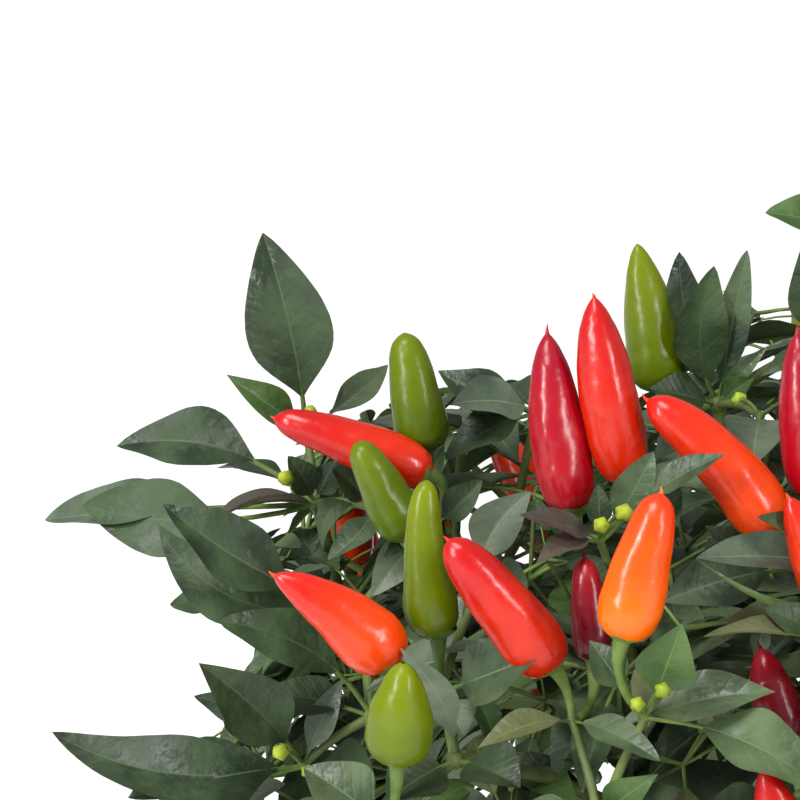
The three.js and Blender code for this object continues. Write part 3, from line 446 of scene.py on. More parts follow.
# The points that a leaf needs room for: its edges and rib at its foot and at its widest, and its tip
def leaf_bounds(leaf):
    bounds = [bezier(leaf.line, NEAR_TIP), leaf.tip]
    for share, fullness in ((0, FOOT_FULLNESS), (WIDEST_SHARE, 1)):
        middle = bezier(leaf.line, mix(leaf.start, 1, share))
        half = leaf.width / 2 * fullness
        lift = leaf.normal * 2 * half * LEAF_FOLD
        bounds += [middle - leaf.across * half + lift, middle + leaf.across * half + lift,
                   middle - leaf.normal * PETIOLE_RADIUS]
    return bounds


# A leaf that the reference view shows this wide: the more it is turned away, the wider it really is
def seen_leaf(node, tip, seen, degrees, share, bow):
    turn = radians(degrees)
    leaf = leaf_at(node, tip, seen, vec(0, -sin(turn), cos(turn)), share, bow)
    sight = unit(tip - EYE)
    leaf.width = seen / max(LEAST_SEEN, norm(leaf.across - sight * (leaf.across @ sight)))
    return leaf


def spray_at(point, kind, tone=None):
    return SimpleNamespace(point=point, kind=kind, tone=tone, mass=mass_of(point), leaves=[], fruits=[])


def fruit_at(tip, foot, girth, ripeness=None, outline=None, bulge=0):
    return SimpleNamespace(tip=tip, foot=foot, girth=girth, ripeness=ripeness, outline=outline, bulge=bulge)


def shown_sprays():
    made = []
    for node, tone, leaves, fruits in SHOWN_SPRAYS:
        spray = spray_at(placed(*node), "shown", tone)
        for right, up, depth, seen, degrees, share, bow, *own in leaves:
            leaf = seen_leaf(spray.point, placed(right, up, depth), seen, degrees, share, bow)
            leaf.tone = own[0] if own else tone
            spray.leaves.append(leaf)
        for row in fruits:
            spray.fruits.append(fruit_at(placed(*row[:3]), placed(*row[3:6]), *row[6:]))
        made.append(spray)
    return made


def in_view(right, up):
    return abs(right) < VIEW_HALF + VIEW_SIDE_MARGIN and up > -VIEW_HALF - VIEW_FOOT_MARGIN


# Whether a place in the view lies inside the crown's edge, by the crossings of a level line to its right
def in_edge(right, up):
    within = False
    for (x, y), (px, py) in zip(SKY_EDGE, SKY_EDGE[-1:] + SKY_EDGE[:-1]):
        if (y > up) != (py > up) and right < x + (px - x) * (up - y) / (py - y):
            within = not within
    return within


# A new spray thrown at random into the crown, or None where it has no room. Where the reference view would
# show it, it has to lie behind the nearest shown spray.
def thrown(nodes, rule):
    turn = draw() * 2 * pi
    reach = (CROWN_REACH - THROW_EDGE) * np.sqrt(draw())
    low = crown_foot(reach) + THROW_FOOT
    high = crown_top(reach) - THROW_TOP
    point = vec(reach * cos(turn), reach * sin(turn), low + (high - low) * draw() ** THROW_RISE)
    if reach < rule.heart_reach and crown_top(reach) - point[2] > rule.heart_depth:
        return None
    if norm(np.array(nodes) - point, axis=1).min() < rule.gap:
        return None
    if limb_distance(point) < NODE_ROOM or inside(point, mass_of(point)) < NODE_INSIDE:
        return None
    right, up = shows(point)
    if in_view(right, up):
        nearest = min(SHOWN.sprays, key=lambda spray: norm((spray.point - point)[[0, 2]]))
        if not in_edge(right, up) or point[1] < nearest.point[1] + rule.behind:
            return None
    return spray_at(point, rule.kind)


# What the reference view shows, as rule growth has to keep clear of it: ends in the view, room and depth
class Shown:
    def __init__(self):
        self.sprays = shown_sprays()
        fruits = [fruit for spray in self.sprays for fruit in spray.fruits]
        leaves = [leaf for spray in self.sprays for leaf in spray.leaves]
        things = [(f.foot, f.tip, f.girth / 2 + SHOWN_FRUIT_ROOM) for f in fruits]
        things += [(bezier(f.line, f.start), f.tip, f.width * SHOWN_LEAF_ROOM) for f in leaves]
        self.feet = np.array([shows(foot) for foot, _, _ in things])
        self.tips = np.array([shows(tip) for _, tip, _ in things])
        self.room = np.array([room for _, _, room in things])
        self.back = np.array([max(foot[1], tip[1]) + SHOWN_DEPTH for foot, tip, _ in things])

    # Whether points keep clear, in the view, of the sky and of the shown things that they lie in front of
    def clear(self, points):
        for point in points:
            right, up = shows(point)
            if not in_view(right, up):
                continue
            if not in_edge(right, up):
                return False
            if (np.hypot(SKY_GAPS[:, 0] - right, SKY_GAPS[:, 1] - up) < SKY_GAPS[:, 2] + SKY_ROOM).any():
                return False
            near = point[1] <= self.back
            place = np.array([right, up])
            if (distances(place, self.feet[near], self.tips[near]) < self.room[near]).any():
                return False
        return True


SHOWN = Shown()


# Leaves round a spray's node by the golden turn: the oldest are long and open, the youngest short and
# upright. A leaf with no room tries again, turned and shorter, and is skipped if that doesn't help.
def grow_leaves(spray, rule, allowed):
    axis = unit(mix(unit(spray.point - CROWN_HEART), UP, SPRAY_RISE))
    phase = draw() * 2 * pi
    for k in range(rule.leaves):
        youth = k / (rule.leaves - 1)
        opening = mix(*LEAF_OPENINGS, youth) + LEAF_OPEN_SPREAD * (draw() - 0.5)
        full = mix(*rule.lengths, youth) * drawn_from(LEAF_SIZES)
        droop = drawn_from(LEAF_DROOPS)
        twist = LEAF_TWIST * (draw() - 0.5)
        for turned, shorter in LEAF_TRIES:
            length = full * shorter
            out = square(axis, phase + k * GOLDEN_TURN + turned)
            heading = axis * cos(radians(opening)) + out * sin(radians(opening))
            tip = spray.point + heading * length - UP * droop * length
            face = mix(axis, UP, FACE_RISE) + np.cross(out, axis) * twist
            share = 1 - PETIOLE_LENGTH / length
            leaf = leaf_at(spray.point, tip, length * share / LEAF_SLENDERNESS, face, share)
            bounds = leaf_bounds(leaf)
            if not all(in_crown(point) for point in bounds):
                continue
            if not allowed(bounds, spray) or not SHOWN.clear(bounds):
                continue
            if any(limb_distance(point) < LIMB_ROOM for point in bounds):
                continue
            spray.leaves.append(leaf)
            break


# A fruit stands up out of a thrown spray, more often high in the crown
def grow_fruit(spray):
    chance, turn = draw(), draw() * 2 * pi
    lean, size = drawn_from(FRUIT_LEANS), drawn_from(FRUIT_SIZES)
    reach = np.hypot(spray.point[0], spray.point[1])
    height = (spray.point[2] - crown_foot(reach)) / (crown_top(reach) - crown_foot(reach))
    if chance > FRUIT_CHANCES[0] + FRUIT_CHANCES[1] * height:
        return
    outward = unit(spray.point * (1, 1, 0))
    heading = unit(UP + outward * lean + square(UP, turn) * FRUIT_TILT)
    foot = spray.point + heading * PEDICEL_LENGTH
    tip = foot + heading * FRUIT_LENGTH * size
    girth = FRUIT_GIRTH * (FRUIT_GIRTHS[0] + FRUIT_GIRTHS[1] * size)
    right, up = shows(foot)
    if in_view(right, up) and foot[1] < FRUIT_HIDDEN:
        return
    if not in_crown(foot) or min(inside(p, spray.mass) for p in (foot, tip)) < girth / 2 + SPACE_ROOM:
        return
    if SHOWN.clear([foot, mix(foot, tip, 0.5), tip]):
        spray.fruits.append(fruit_at(tip, foot, girth))


def keeps_space(points, spray):
    return all(inside(point, spray.mass) > SPACE_ROOM for point in points)


# Sprays thrown between these, where they take, until there are enough or the throws are used up
def spread(rule, most, sprays, takes):
    made, nodes = [], [spray.point for spray in sprays]
    for _ in range(rule.throws):
        if len(made) == most:
            break
        new = thrown(nodes, rule)
        if new and takes(new):
            made.append(new)
            nodes.append(new.point)
    return made


# Everything that the source grows, in its order of draws
def growth():
    grown = spread(GROWN, GROWN.count - len(SHOWN.sprays), SHOWN.sprays, lambda new: True)
    for spray in grown:
        grow_leaves(spray, GROWN, keeps_space)
        grow_fruit(spray)
    return SHOWN.sprays + [spray for spray in grown if len(spray.leaves) > 1]


# Finer sprays between those of the source, with smaller leaves that keep off the fruit
def fine_growth(sprays):
    fruits = [fruit for spray in sprays for fruit in spray.fruits]
    feet, tips = np.array([f.foot for f in fruits]), np.array([f.tip for f in fruits])
    rooms = np.array([f.girth / 2 + FRUIT_ROOM for f in fruits])

    def off_fruit(points, _):
        return all((distances(point, feet, tips) > rooms).all() for point in points)

    def takes(new):
        if off_fruit([new.point], new):
            grow_leaves(new, FINE, off_fruit)
        return len(new.leaves) > 1

    return spread(FINE, FINE.count, sprays, takes)


# Twigs join a mass's sprays to its root, nearest first, from the joined point that makes the shortest way
# back. A twig is as thick as what it carries asks for. The finer sprays join last, by thin twigs.
def grow_twigs(start, sprays):
    joined = [SimpleNamespace(point=start, way=0, parent=None, carried=0)]
    for spray in sorted(sprays, key=lambda s: (s.kind == "fine", norm(s.point - start))):
        spray.parent = min(joined, key=lambda end: norm(end.point - spray.point) + WAY_COST * end.way)
        spray.way = spray.parent.way + norm(spray.parent.point - spray.point)
        spray.carried = 0
        joined.append(spray)
        step = None if spray.kind == "fine" else spray
        while step:
            step.carried += 1
            step = step.parent

    def radius(spray, more):
        if spray.kind == "fine":
            return FINE_RADIUS
        return min(BOUGH_TIP_RADIUS, TWIG_RADIUS * (spray.carried + more) ** TWIG_POWER)

    return [(s.parent.point, s.point, radius(s, 1), radius(s, 0)) for s in joined[1:]]


# Grids of points gathered into one mesh. Each row of a grid may close into a ring.
class Gathered:
    def __init__(self):
        self.points, self.quads, self.uvs, self.looks, self.count = [], [], [], [], 0

    def add(self, grid, uv, ring=False, look=0, flipped=False):
        rows, columns = grid.shape[:2]
        row, column = np.mgrid[:rows - 1, :columns if ring else columns - 1]
        corners = [(row, column), (row, column + 1), (row + 1, column + 1), (row + 1, column)]
        quads = np.stack([r * columns + c % columns for r, c in corners], -1)
        if ring:
            uv = np.concatenate([uv, uv[:, :1] + (1, 0)], 1)
        uvs = np.stack([uv[r, c] for r, c in corners], -2)
        if flipped:
            quads, uvs = quads[..., ::-1], uvs[..., ::-1, :]
        self.points.append(grid.reshape(-1, 3))
        self.quads.append(quads.reshape(-1, 4) + self.count)
        self.uvs.append(uvs.reshape(-1, 4, 2))
        self.looks.append(np.broadcast_to(look, row.shape).ravel())
        self.count += rows * columns

    def add_tube(self, path, radii, sides):
        self.add(*tube(path, radii, sides), ring=True)

    def piece(self, name, looks, slot="foliage", nodes=FOLIAGE_NODES):
        mesh = bpy.data.meshes.new(name)
        mesh.from_pydata(np.concatenate(self.points) * MM, [], np.concatenate(self.quads))
        mesh.polygons.foreach_set("material_index", np.concatenate(self.looks).astype(np.int32))
        mesh.uv_layers.new(name="Growth").data.foreach_set("uv", np.concatenate(self.uvs).ravel())
        mesh.shade_smooth()
        mesh.validate()
        for look in looks:
            mesh.materials.append(look)
        made = linked(name, mesh)
        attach(made, "root")
        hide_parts(*nodes)


# A new object with this data, in the scene
def linked(name, data):
    made = bpy.data.objects.new(name, data)
    scene.collection.objects.link(made)
    return made


# The unit directions of a path at its points
def directions(path):
    ways = np.gradient(path, axis=0)
    return ways / norm(ways, axis=1)[:, None]


# The length of a path up to each of its points
def lengths_along(path):
    return np.concatenate([[0], np.cumsum(norm(np.diff(path, axis=0), axis=1))])


def turns_round(sides):
    return np.arange(sides) * 2 * pi / sides


# Rings of points round a path, with u once round and v the length gone in tens of millimetres
def tube(path, radii, sides):
    path = np.asarray(path, float)
    tangents = directions(path)
    across = square(tangents[0], 0)
    turns = turns_round(sides)[:, None]
    rings = []
    for point, tangent, radius in zip(path, tangents, radii):
        across = unit(across - tangent * (across @ tangent))
        other = np.cross(tangent, across)
        rings.append(point + radius * (cos(turns) * across + sin(turns) * other))
    uv = np.stack(np.broadcast_arrays(np.arange(sides) / sides, lengths_along(path)[:, None] / 10), -1)
    return np.array(rings), uv


# A path made smooth through its points, and its radii with it
def smooth_path(path, radii, steps):
    path = np.asarray(path, float)
    lengths = lengths_along(path)
    at = np.linspace(0, lengths[-1], steps)
    slopes = np.gradient(path, lengths, axis=0)
    k = np.clip(np.searchsorted(lengths, at, side="right") - 1, 0, len(path) - 2)
    span = lengths[k + 1] - lengths[k]
    t = ((at - lengths[k]) / span)[:, None]
    span = span[:, None]
    points = (
        (2 * t**3 - 3 * t**2 + 1) * path[k] + (t**3 - 2 * t**2 + t) * span * slopes[k]
        + (3 * t**2 - 2 * t**3) * path[k + 1] + (t**3 - t**2) * span * slopes[k + 1]
    )
    return points, np.interp(at, lengths, radii)


# A broken line of values with its corners rounded off, but for its two ends
def smoothed(at, values, steps=201, reach=9, end=0.04):
    fine = np.linspace(0, 1, steps)
    level = np.interp(fine, at, values)
    before, after = 2 * level[0] - level[reach:0:-1], 2 * level[-1] - level[-2:-reach - 2:-1]
    kernel = np.hanning(2 * reach + 1)
    out = np.convolve(np.concatenate([before, level, after]), kernel / kernel.sum(), "valid")
    edge = np.minimum(1, np.minimum(fine / end, (1 - fine) / end))
    return fine, level * (1 - edge) + out * edge


# How full a blade is at shares of its length: a wedge at its foot, a long drawn-out point at its tip
BLADE_OUTLINE = smoothed(
    [0, 0.06, 0.13, 0.21, 0.29, 0.37, 0.46, 0.59, 0.74, 0.88, 0.95, 1],
    [0.04, 0.18, 0.4, 0.66, 0.88, 0.98, 1, 0.88, 0.61, 0.31, 0.15, 0],
)

# What differs from leaf to leaf, each drawn between two numbers: the power that its outline is raised to,
# which makes it rounder under 1, its twist, its fold, and the depth and number of the waves of its edge
BLADE_POWERS, BLADE_TWISTS = (0.75, 1.1), (-0.25, 0.25)
BLADE_FOLDS, BLADE_WAVES, WAVE_COUNTS = (0.18, 0.44), (0.03, 0.12), (1.2, 2.2)
FOLD_POWER, LEAF_END, LEAF_THICKNESS, THIN_WITHIN = 1.3, 0.06, 0.35, 1.5

# A leaf's stalk: its radii at the node, the blade's foot and the tip, on leaves of this width and wider.
# Under the blade it runs on as a rib, this far below the blade's middle, over this share of the blade.
STALK_RADII, STALK_FULL_WIDTH = [0.8, 0.6, 0.12], 14
RIB_DEPTH, RIB_SHARE = 0.45, 0.75

# A blade's number of rows, and its columns from the edge to the midrib, which the other side mirrors
LEAF_MESH = {
    "shown": (22, [1, 0.82, 0.6, 0.38, 0.17, 0.03]),
    "grown": (13, [1, 0.7, 0.36, 0.04]),
    "fine": (9, [1, 0.5, 0.05]),
}
BLADE, RIB, UNDERSIDE = 0, 1, 2


# One leaf: both faces of its blade, with a fold, a wavy edge and a twist, and its stalk
def add_leaf(leaf, kind, blades, stalks):
    rows, one_side = LEAF_MESH[kind]
    columns, shares = np.array([-c for c in one_side] + one_side[::-1]), np.linspace(0, 1, rows)
    middle = bezier(leaf.line, mix(leaf.start, 1, shares))
    tangents = directions(middle)
    twist = (rng.uniform(*BLADE_TWISTS) * shares)[:, None]
    across = leaf.across * cos(twist) + np.cross(tangents, leaf.across) * sin(twist)
    normal = np.cross(across, tangents)
    fullness = np.interp(shares, *BLADE_OUTLINE) ** rng.uniform(*BLADE_POWERS)
    half = np.maximum(leaf.width / 2 * fullness, np.linspace(PETIOLE_RADIUS, LEAF_END, len(shares)))
    fold, wave = rng.uniform(*BLADE_FOLDS), rng.uniform(*BLADE_WAVES)
    phases = rng.uniform(0, 2 * pi, 2)
    waves = rng.uniform(*WAVE_COUNTS)
    side = np.where(columns < 0, *phases)
    ripples = leaf.width / 2 * wave * columns**2 * sin(2 * pi * waves * shares[:, None] + side)
    lift = fold * np.abs(columns) ** FOLD_POWER * half[:, None]
    lift = lift + ripples * sin(pi * shares[:, None])
    wide = columns * half[:, None]
    top = middle[:, None] + across[:, None] * wide[..., None] + normal[:, None] * lift[..., None]
    thick = LEAF_THICKNESS * (1 - columns**4) * np.minimum(1, half / THIN_WITHIN)[:, None]
    under = top - normal[:, None] * thick[..., None]
    length = norm(leaf.tip - leaf.node) * (1 - leaf.start)
    uv = np.stack(np.broadcast_arrays(0.5 + wide / length, shares[:, None]), -1)
    strips = np.arange(len(columns) - 1)
    blades.add(top, uv, look=np.where(strips == len(one_side) - 1, RIB, BLADE)[None])
    blades.add(under, uv, look=UNDERSIDE, flipped=True)
    rib_end = mix(leaf.start, 1, RIB_SHARE)
    ways = np.concatenate([np.linspace(0, leaf.start, 4)[:-1], np.linspace(leaf.start, rib_end, 6)])
    line = bezier(leaf.line, ways) - leaf.normal * RIB_DEPTH
    line[0] = leaf.node
    radii = np.interp(ways, [0, leaf.start, 1], STALK_RADII) * min(1, leaf.width / STALK_FULL_WIDTH)
    stalks.add_tube(line, radii, 5)


# A fruit's width at shares of the way from its foot to its tip, one row for each outline
FRUIT_SHARES = [0, 0.03, 0.1, 0.22, 0.45, 0.65, 0.82, 0.93, 0.98, 1]
FRUIT_OUTLINES = {name: smoothed(FRUIT_SHARES, widths) for name, widths in {
    "straight": [0.36, 0.64, 0.86, 0.98, 1, 0.88, 0.64, 0.37, 0.16, 0.03],
    "tapered": [0.36, 0.68, 0.9, 1, 0.88, 0.7, 0.48, 0.28, 0.14, 0.03],
    "fat": [0.34, 0.62, 0.85, 1, 0.95, 0.78, 0.56, 0.36, 0.2, 0.04],
    "blunt": [0.36, 0.68, 0.9, 1, 0.93, 0.82, 0.68, 0.5, 0.26, 0.04],
    "waisted": [0.36, 0.7, 0.92, 1, 0.78, 0.68, 0.58, 0.44, 0.26, 0.04],
}.items()}

# A round fruit is a little thinner than the source's, whose girth is measured over its corners. Its rows
# crowd towards its tip. It swells in 3 or 4 lobes, in two and in one, this deep and winding this much.
FRUIT_ROUND, FRUIT_SIDES, FRUIT_ROWS, ROW_POWER = 0.93, 28, 30, 1.15
FRUIT_LOBES, SWELL_DEPTHS, SWELL_WINDS = (3, 5), (0.022, 0.018, 0.014), (1.5, -9, 17)

# The thin beak at the tip of a ripe fruit
BEAK_REACHES, BEAK_RADII, BEAK_BEND = (0.9, 2.2), [0.8, 0.4, 0.1], 0.3

# The pedicel's radii at shares of its length, and the calyx's rings: their places along the fruit, their
# shares of its girth, and how far the teeth stand up there
PEDICEL_RADII = ([0, 0.6, 1], [0.9, 1.2, 2.1])
CALYX_STEPS = np.array([-0.5, 0, 0.5, 1.0, 1.5, 1.9])
CALYX_WIDTHS = np.array([0.1, 0.17, 0.23, 0.275, 0.315, 0.335])
CALYX_TEETH = np.array([0, 0, 0, 0.1, 0.3, 0.5])
CALYX_SIDES, TEETH_ROUND, TEETH_LOW = 20, 5, -0.4


# One fruit with its calyx and bent pedicel
def add_fruit(fruit, node, skins, stalks):
    chord = fruit.tip - fruit.foot
    heading = unit(chord)
    sideways = unit(np.cross(heading, VIEW_BACK))
    crest = mix(fruit.foot, fruit.tip, 0.5) + sideways * 2 * fruit.bulge * norm(chord)
    shares = 1 - (1 - np.linspace(0, 1, FRUIT_ROWS)) ** ROW_POWER
    middle = bezier((fruit.foot, crest, fruit.tip), shares)
    widths = np.interp(shares, *FRUIT_OUTLINES[fruit.outline])
    grid, uv = tube(middle, widths * fruit.girth / 2 * FRUIT_ROUND, FRUIT_SIDES)
    phases, lobes = rng.uniform(0, 2 * pi, 3), rng.integers(*FRUIT_LOBES)
    middle, shares = middle[:, None], shares[:, None]
    swells = sum(
        depth * sin(count * turns_round(FRUIT_SIDES) + phase + wind * shares)
        for depth, count, phase, wind in zip(SWELL_DEPTHS, (lobes, 2, 1), phases, SWELL_WINDS)
    )
    uv[..., 1] = shares
    skins.add(mix(middle, grid, (1 + swells * sin(pi * shares) ** 0.5)[..., None]), uv, ring=True)
    if fruit.ripeness not in UNRIPE:
        reach = rng.uniform(*BEAK_REACHES)
        beak = fruit.tip + unit(fruit.tip - crest) * np.array([-0.9, BEAK_BEND * reach, reach])[:, None]
        beak[2] += square(heading, phases[0]) * BEAK_BEND * reach
        skins.add_tube(beak, BEAK_RADII, 6)
    add_pedicel(fruit, node, heading, phases[0], stalks)


# The pedicel bends up out of its node, thickens, and opens into a calyx with low teeth
def add_pedicel(fruit, node, heading, phase, stalks):
    bend = fruit.foot - heading * PEDICEL_BEND * norm(node - fruit.foot)
    shares = np.linspace(0, 1, 9)
    stalks.add_tube(bezier((node, bend, fruit.foot), shares), np.interp(shares, *PEDICEL_RADII), 10)
    path = fruit.foot + heading * CALYX_STEPS[:, None]
    grid, uv = tube(path, fruit.girth * CALYX_WIDTHS, CALYX_SIDES)
    teeth = np.clip(cos(TEETH_ROUND * turns_round(CALYX_SIDES) + phase), TEETH_LOW, 1)
    grid += heading * (teeth * CALYX_TEETH[:, None])[..., None]
    stalks.add(grid, uv, ring=True)


# A round knob, for the joints of twigs, with a pinhole at both its poles
def add_knob(point, radius, heading, stalks):
    angles = np.linspace(PINHOLE, pi - PINHOLE, 7)
    path = point - heading * (cos(angles) * radius)[:, None]
    stalks.add_tube(path, sin(angles) * radius, TWIG_SIDES)


# Flower buds, all but the stalk measured in the bud's own size
BUD_SIZES, BUD_STALK_RADII, BUD_STALK_RISE = (1.3, 2.0), (0.45, 0.6), 0.15
BUD_MIDDLE, BUD_REACH, BUD_FULLNESS, BUD_TAPER = 0.9, 1.15, 0.8, 0.22
BUD_SIDES, BUD_RIBS, BUD_RIB_HEIGHT = 15, 5, 0.1
CUP_STEPS, CUP_RADII = np.array([-0.3, 0.1, 0.6, 0.9]), np.array([0.3, 0.8, 1.04, 1.0])


# A flower bud as a ribbed drop in a cup, on a thin bent stalk
def add_bud(point, node, size, buds, stalks):
    bend = mix(node, point, 0.5) + UP * BUD_STALK_RISE * norm(point - node)
    line = bezier((node, bend, point), np.linspace(0, 1, 7))
    heading = unit(point - line[-2])
    stalks.add_tube(line, np.linspace(*BUD_STALK_RADII, 7), 6)
    angles = np.linspace(0.1, pi - 0.01, 10)
    path = point + heading * (size * (BUD_MIDDLE - BUD_REACH * cos(angles)))[:, None]
    radii = sin(angles) ** BUD_FULLNESS * size * (1 + BUD_TAPER * cos(angles))
    grid, uv = tube(path, radii, BUD_SIDES)
    ribs = 1 + BUD_RIB_HEIGHT * cos(BUD_RIBS * turns_round(BUD_SIDES))
    buds.add(mix(path[:, None], grid, ribs[:, None]), uv, ring=True)
    stalks.add_tube(point + heading * (size * CUP_STEPS)[:, None], size * CUP_RADII, 10)


# Bark: how much a limb swells where another leaves it and how far that reaches, how narrow its end and the
# hole in its foot are, and its fissures and lumps: amount, fineness round the limb and fineness along it
FORK_SWELLING, FORK_REACH, LIMB_END, FOOT_HOLE = 0.16, 3.5, 0.3, 0.02
FISSURES, LUMPS = (0.1, 3.2, 0.05), (0.07, 1.3, 0.22)


def relief(turn, height, seed, amount, round_it, along):
    place = Vector((round_it * cos(turn), round_it * sin(turn), height * along + seed))
    return amount * noise.noise(place)


# A limb as a round of bark, closed at its foot, which stays above the ground
def bark_tube(limb, sides, spacing, forks, seed):
    path, radii = smooth_path(limb.path, limb.radii, int(lengths_along(limb.path)[-1] / spacing))
    for height in forks:
        radii = radii * (1 + FORK_SWELLING * np.exp(-(((path[:, 2] - height) / FORK_REACH) ** 2)))
    radii[-1] *= LIMB_END
    grid, uv = tube(path, radii, sides)
    for middle, ring in zip(path, grid):
        for k, turn in enumerate(turns_round(sides)):
            rough = 1 + relief(turn, middle[2], seed, *FISSURES) + relief(turn, middle[2], seed, *LUMPS)
            ring[k] = mix(middle, ring[k], rough)
    closing = mix(path[0], grid[:1], FOOT_HOLE)
    grid, uv = np.concatenate([closing, grid]), np.concatenate([uv[:1], uv])
    grid[..., 2] = np.maximum(grid[..., 2], 0)
    return grid, uv


def linear(*rgb):
    shares = np.array(rgb) / 255
    return (*np.where(shares < 0.04045, shares / 12.92, ((shares + 0.055) / 1.055) ** 2.4), 1)


# A colour made this many times as bright, with a little white added
def toned(colour, times, white=0.0):
    return (*(min(1, times * c + white) for c in colour[:3]), 1)


# A material's nodes, made one at a time, with plain numbers or other nodes' outputs as inputs
class Nodes:
    def __init__(self, name, specular):
        self.material = bpy.data.materials.new(name)
        self.material.use_nodes = True
        self.tree = self.material.node_tree
        self.shader = self.tree.nodes["Principled BSDF"]
        self.shader.inputs["Specular IOR Level"].default_value = specular

    def node(self, kind, inputs=(), **settings):
        made = self.tree.nodes.new(kind)
        for name, value in settings.items():
            setattr(made, name, value)
        for name, value in dict(inputs).items():
            if isinstance(value, bpy.types.NodeSocket):
                self.tree.links.new(value, made.inputs[name])
            else:
                made.inputs[name].default_value = value
        return made

    def math(self, operation, a, b=0.0):
        return self.node("ShaderNodeMath", {0: a, 1: b}, operation=operation).outputs[0]

    # A value that runs from 0 to 1 made to swing round 0, over this span
    def swing(self, value, span):
        return self.math("MULTIPLY", self.math("SUBTRACT", value, 0.5), span)

    def mixed(self, factor, a, b):
        return self.node("ShaderNodeMix", {"Factor": factor, 6: a, 7: b}, data_type="RGBA").outputs[2]

    def noise(self, scale, detail=3.0, stretch=None):
        place = self.node("ShaderNodeTexCoord").outputs["Object"]
        if stretch:
            place = self.node("ShaderNodeMapping", {0: place, "Scale": stretch}).outputs[0]
        settings = {"Vector": place, "Scale": scale, "Detail": detail}
        return self.node("ShaderNodeTexNoise", settings).outputs[0]

    # A value between two others, of which the first becomes 0 and the second 1
    def between(self, value, low, high):
        settings = {"Value": value, "From Min": low, "From Max": high}
        return self.node("ShaderNodeMapRange", settings).outputs[0]

    # The parts of a place: of a point in space, or of how far round and along its growth a point lies
    def parts(self, place):
        return self.node("ShaderNodeSeparateXYZ", {0: place}).outputs

    def growth(self):
        return self.parts(self.node("ShaderNodeUVMap", uv_map="Growth").outputs[0])

    # The finished material, with a relief of this strength and of this depth in metres
    def finished(self, colour, roughness, height, strength, depth):
        bump = self.node("ShaderNodeBump", {"Height": height, "Strength": strength, "Distance": depth})
        sockets = {"Base Color": colour, "Roughness": roughness, "Normal": bump.outputs[0]}
        for name, value in sockets.items():
            self.tree.links.new(value, self.shader.inputs[name])
        return self.material


# How near a place on a leaf is to its midrib, and to its nearest side vein
def side_veins(nodes):
    across, along = nodes.growth()[:2]
    out = nodes.math("ABSOLUTE", nodes.math("SUBTRACT", across, 0.5))
    wander = nodes.swing(nodes.noise(120, 1.0), 0.12)
    slanted = nodes.math("SUBTRACT", nodes.math("ADD", along, wander), nodes.math("MULTIPLY", out, 0.9))
    wave = nodes.math("FRACT", nodes.math("MULTIPLY", slanted, 7.0))
    near = nodes.math("MULTIPLY", nodes.math("ABSOLUTE", nodes.math("SUBTRACT", wave, 0.5)), 2.0)
    return out, near


# The leaf blade's upper side: a tone that varies from leaf to leaf, with paler side veins between bulges
def blade_material(name, light, dark):
    nodes = Nodes(name, 0.35)
    island = nodes.node("ShaderNodeNewGeometry").outputs["Random Per Island"]
    mottle = nodes.between(nodes.noise(85, 5.0), 0.36, 0.64)
    share = nodes.math("ADD", nodes.math("MULTIPLY", island, 0.4), nodes.math("MULTIPLY", mottle, 0.6))
    out, near = side_veins(nodes)
    vein = nodes.math("MULTIPLY", nodes.between(near, 0.88, 1.0), nodes.between(out, 0.26, 0.04))
    base = nodes.mixed(share, dark, light)
    colour = nodes.mixed(nodes.math("MULTIPLY", vein, 0.08), base, toned(light, 1.4, 0.015))
    pucker = nodes.math("MULTIPLY", nodes.noise(260, 2.0), 2.0)
    bulges = nodes.math("ADD", pucker, nodes.math("MULTIPLY", mottle, 0.3))
    furrow = nodes.math("MULTIPLY", nodes.math("POWER", near, 4.0), 0.2)
    height = nodes.math("SUBTRACT", bulges, furrow)
    return nodes.finished(colour, nodes.between(mottle, -0.85, 2.1), height, 0.45, 0.0006)


def plain_green(name, light, dark):
    nodes = Nodes(name, 0.35)
    mottle = nodes.between(nodes.noise(160), 0.35, 0.65)
    colour = nodes.mixed(mottle, dark, light)
    return nodes.finished(colour, nodes.between(mottle, -1.4, 1.8), mottle, 0.2, 0.0003)


# A fruit's waxy skin, which turns from its colour at the foot to that at the tip. Ripe skin shines more.
def fruit_material(ripeness, foot, tip, turn_low, turn_high):
    specular, smoothest = (0.28, -0.65) if ripeness in UNRIPE else (0.42, -0.45)
    nodes = Nodes(f"skin_{ripeness}", specular)
    patches = nodes.swing(nodes.noise(60, 2.0), 0.5)
    along = nodes.math("ADD", nodes.growth()[1], patches)
    base = nodes.mixed(nodes.between(along, turn_low, turn_high), foot, tip)
    shade = nodes.math("MULTIPLY", nodes.between(nodes.noise(220), 0.3, 0.8), 0.2)
    dents = nodes.math("ADD", nodes.noise(150, 1.5), nodes.math("MULTIPLY", nodes.noise(420, 2.0), 0.15))
    colour = nodes.mixed(shade, base, toned(foot, 0.5))
    return nodes.finished(colour, nodes.between(nodes.noise(300), smoothest, 3.2), dents, 0.45, 0.0013)


# Bark that is woody near the ground and green higher up, between these heights in metres
def bark_material(woody_to=0.012, green_from=0.075):
    nodes = Nodes("bark", 0.25)
    height = nodes.parts(nodes.node("ShaderNodeTexCoord").outputs["Object"])[2]
    streaks = nodes.noise(260, 5.0, (1, 1, 0.16))
    age = nodes.between(nodes.math("ADD", height, nodes.swing(streaks, 0.06)), woody_to, green_from)
    woody = nodes.mixed(nodes.between(streaks, 0.35, 0.65), linear(96, 78, 56), linear(158, 140, 108))
    green = nodes.mixed(nodes.between(streaks, 0.35, 0.65), linear(86, 112, 52), linear(122, 142, 74))
    colour = nodes.mixed(age, woody, green)
    return nodes.finished(colour, nodes.between(streaks, -1.4, 0.9), streaks, 0.6, 0.0008)


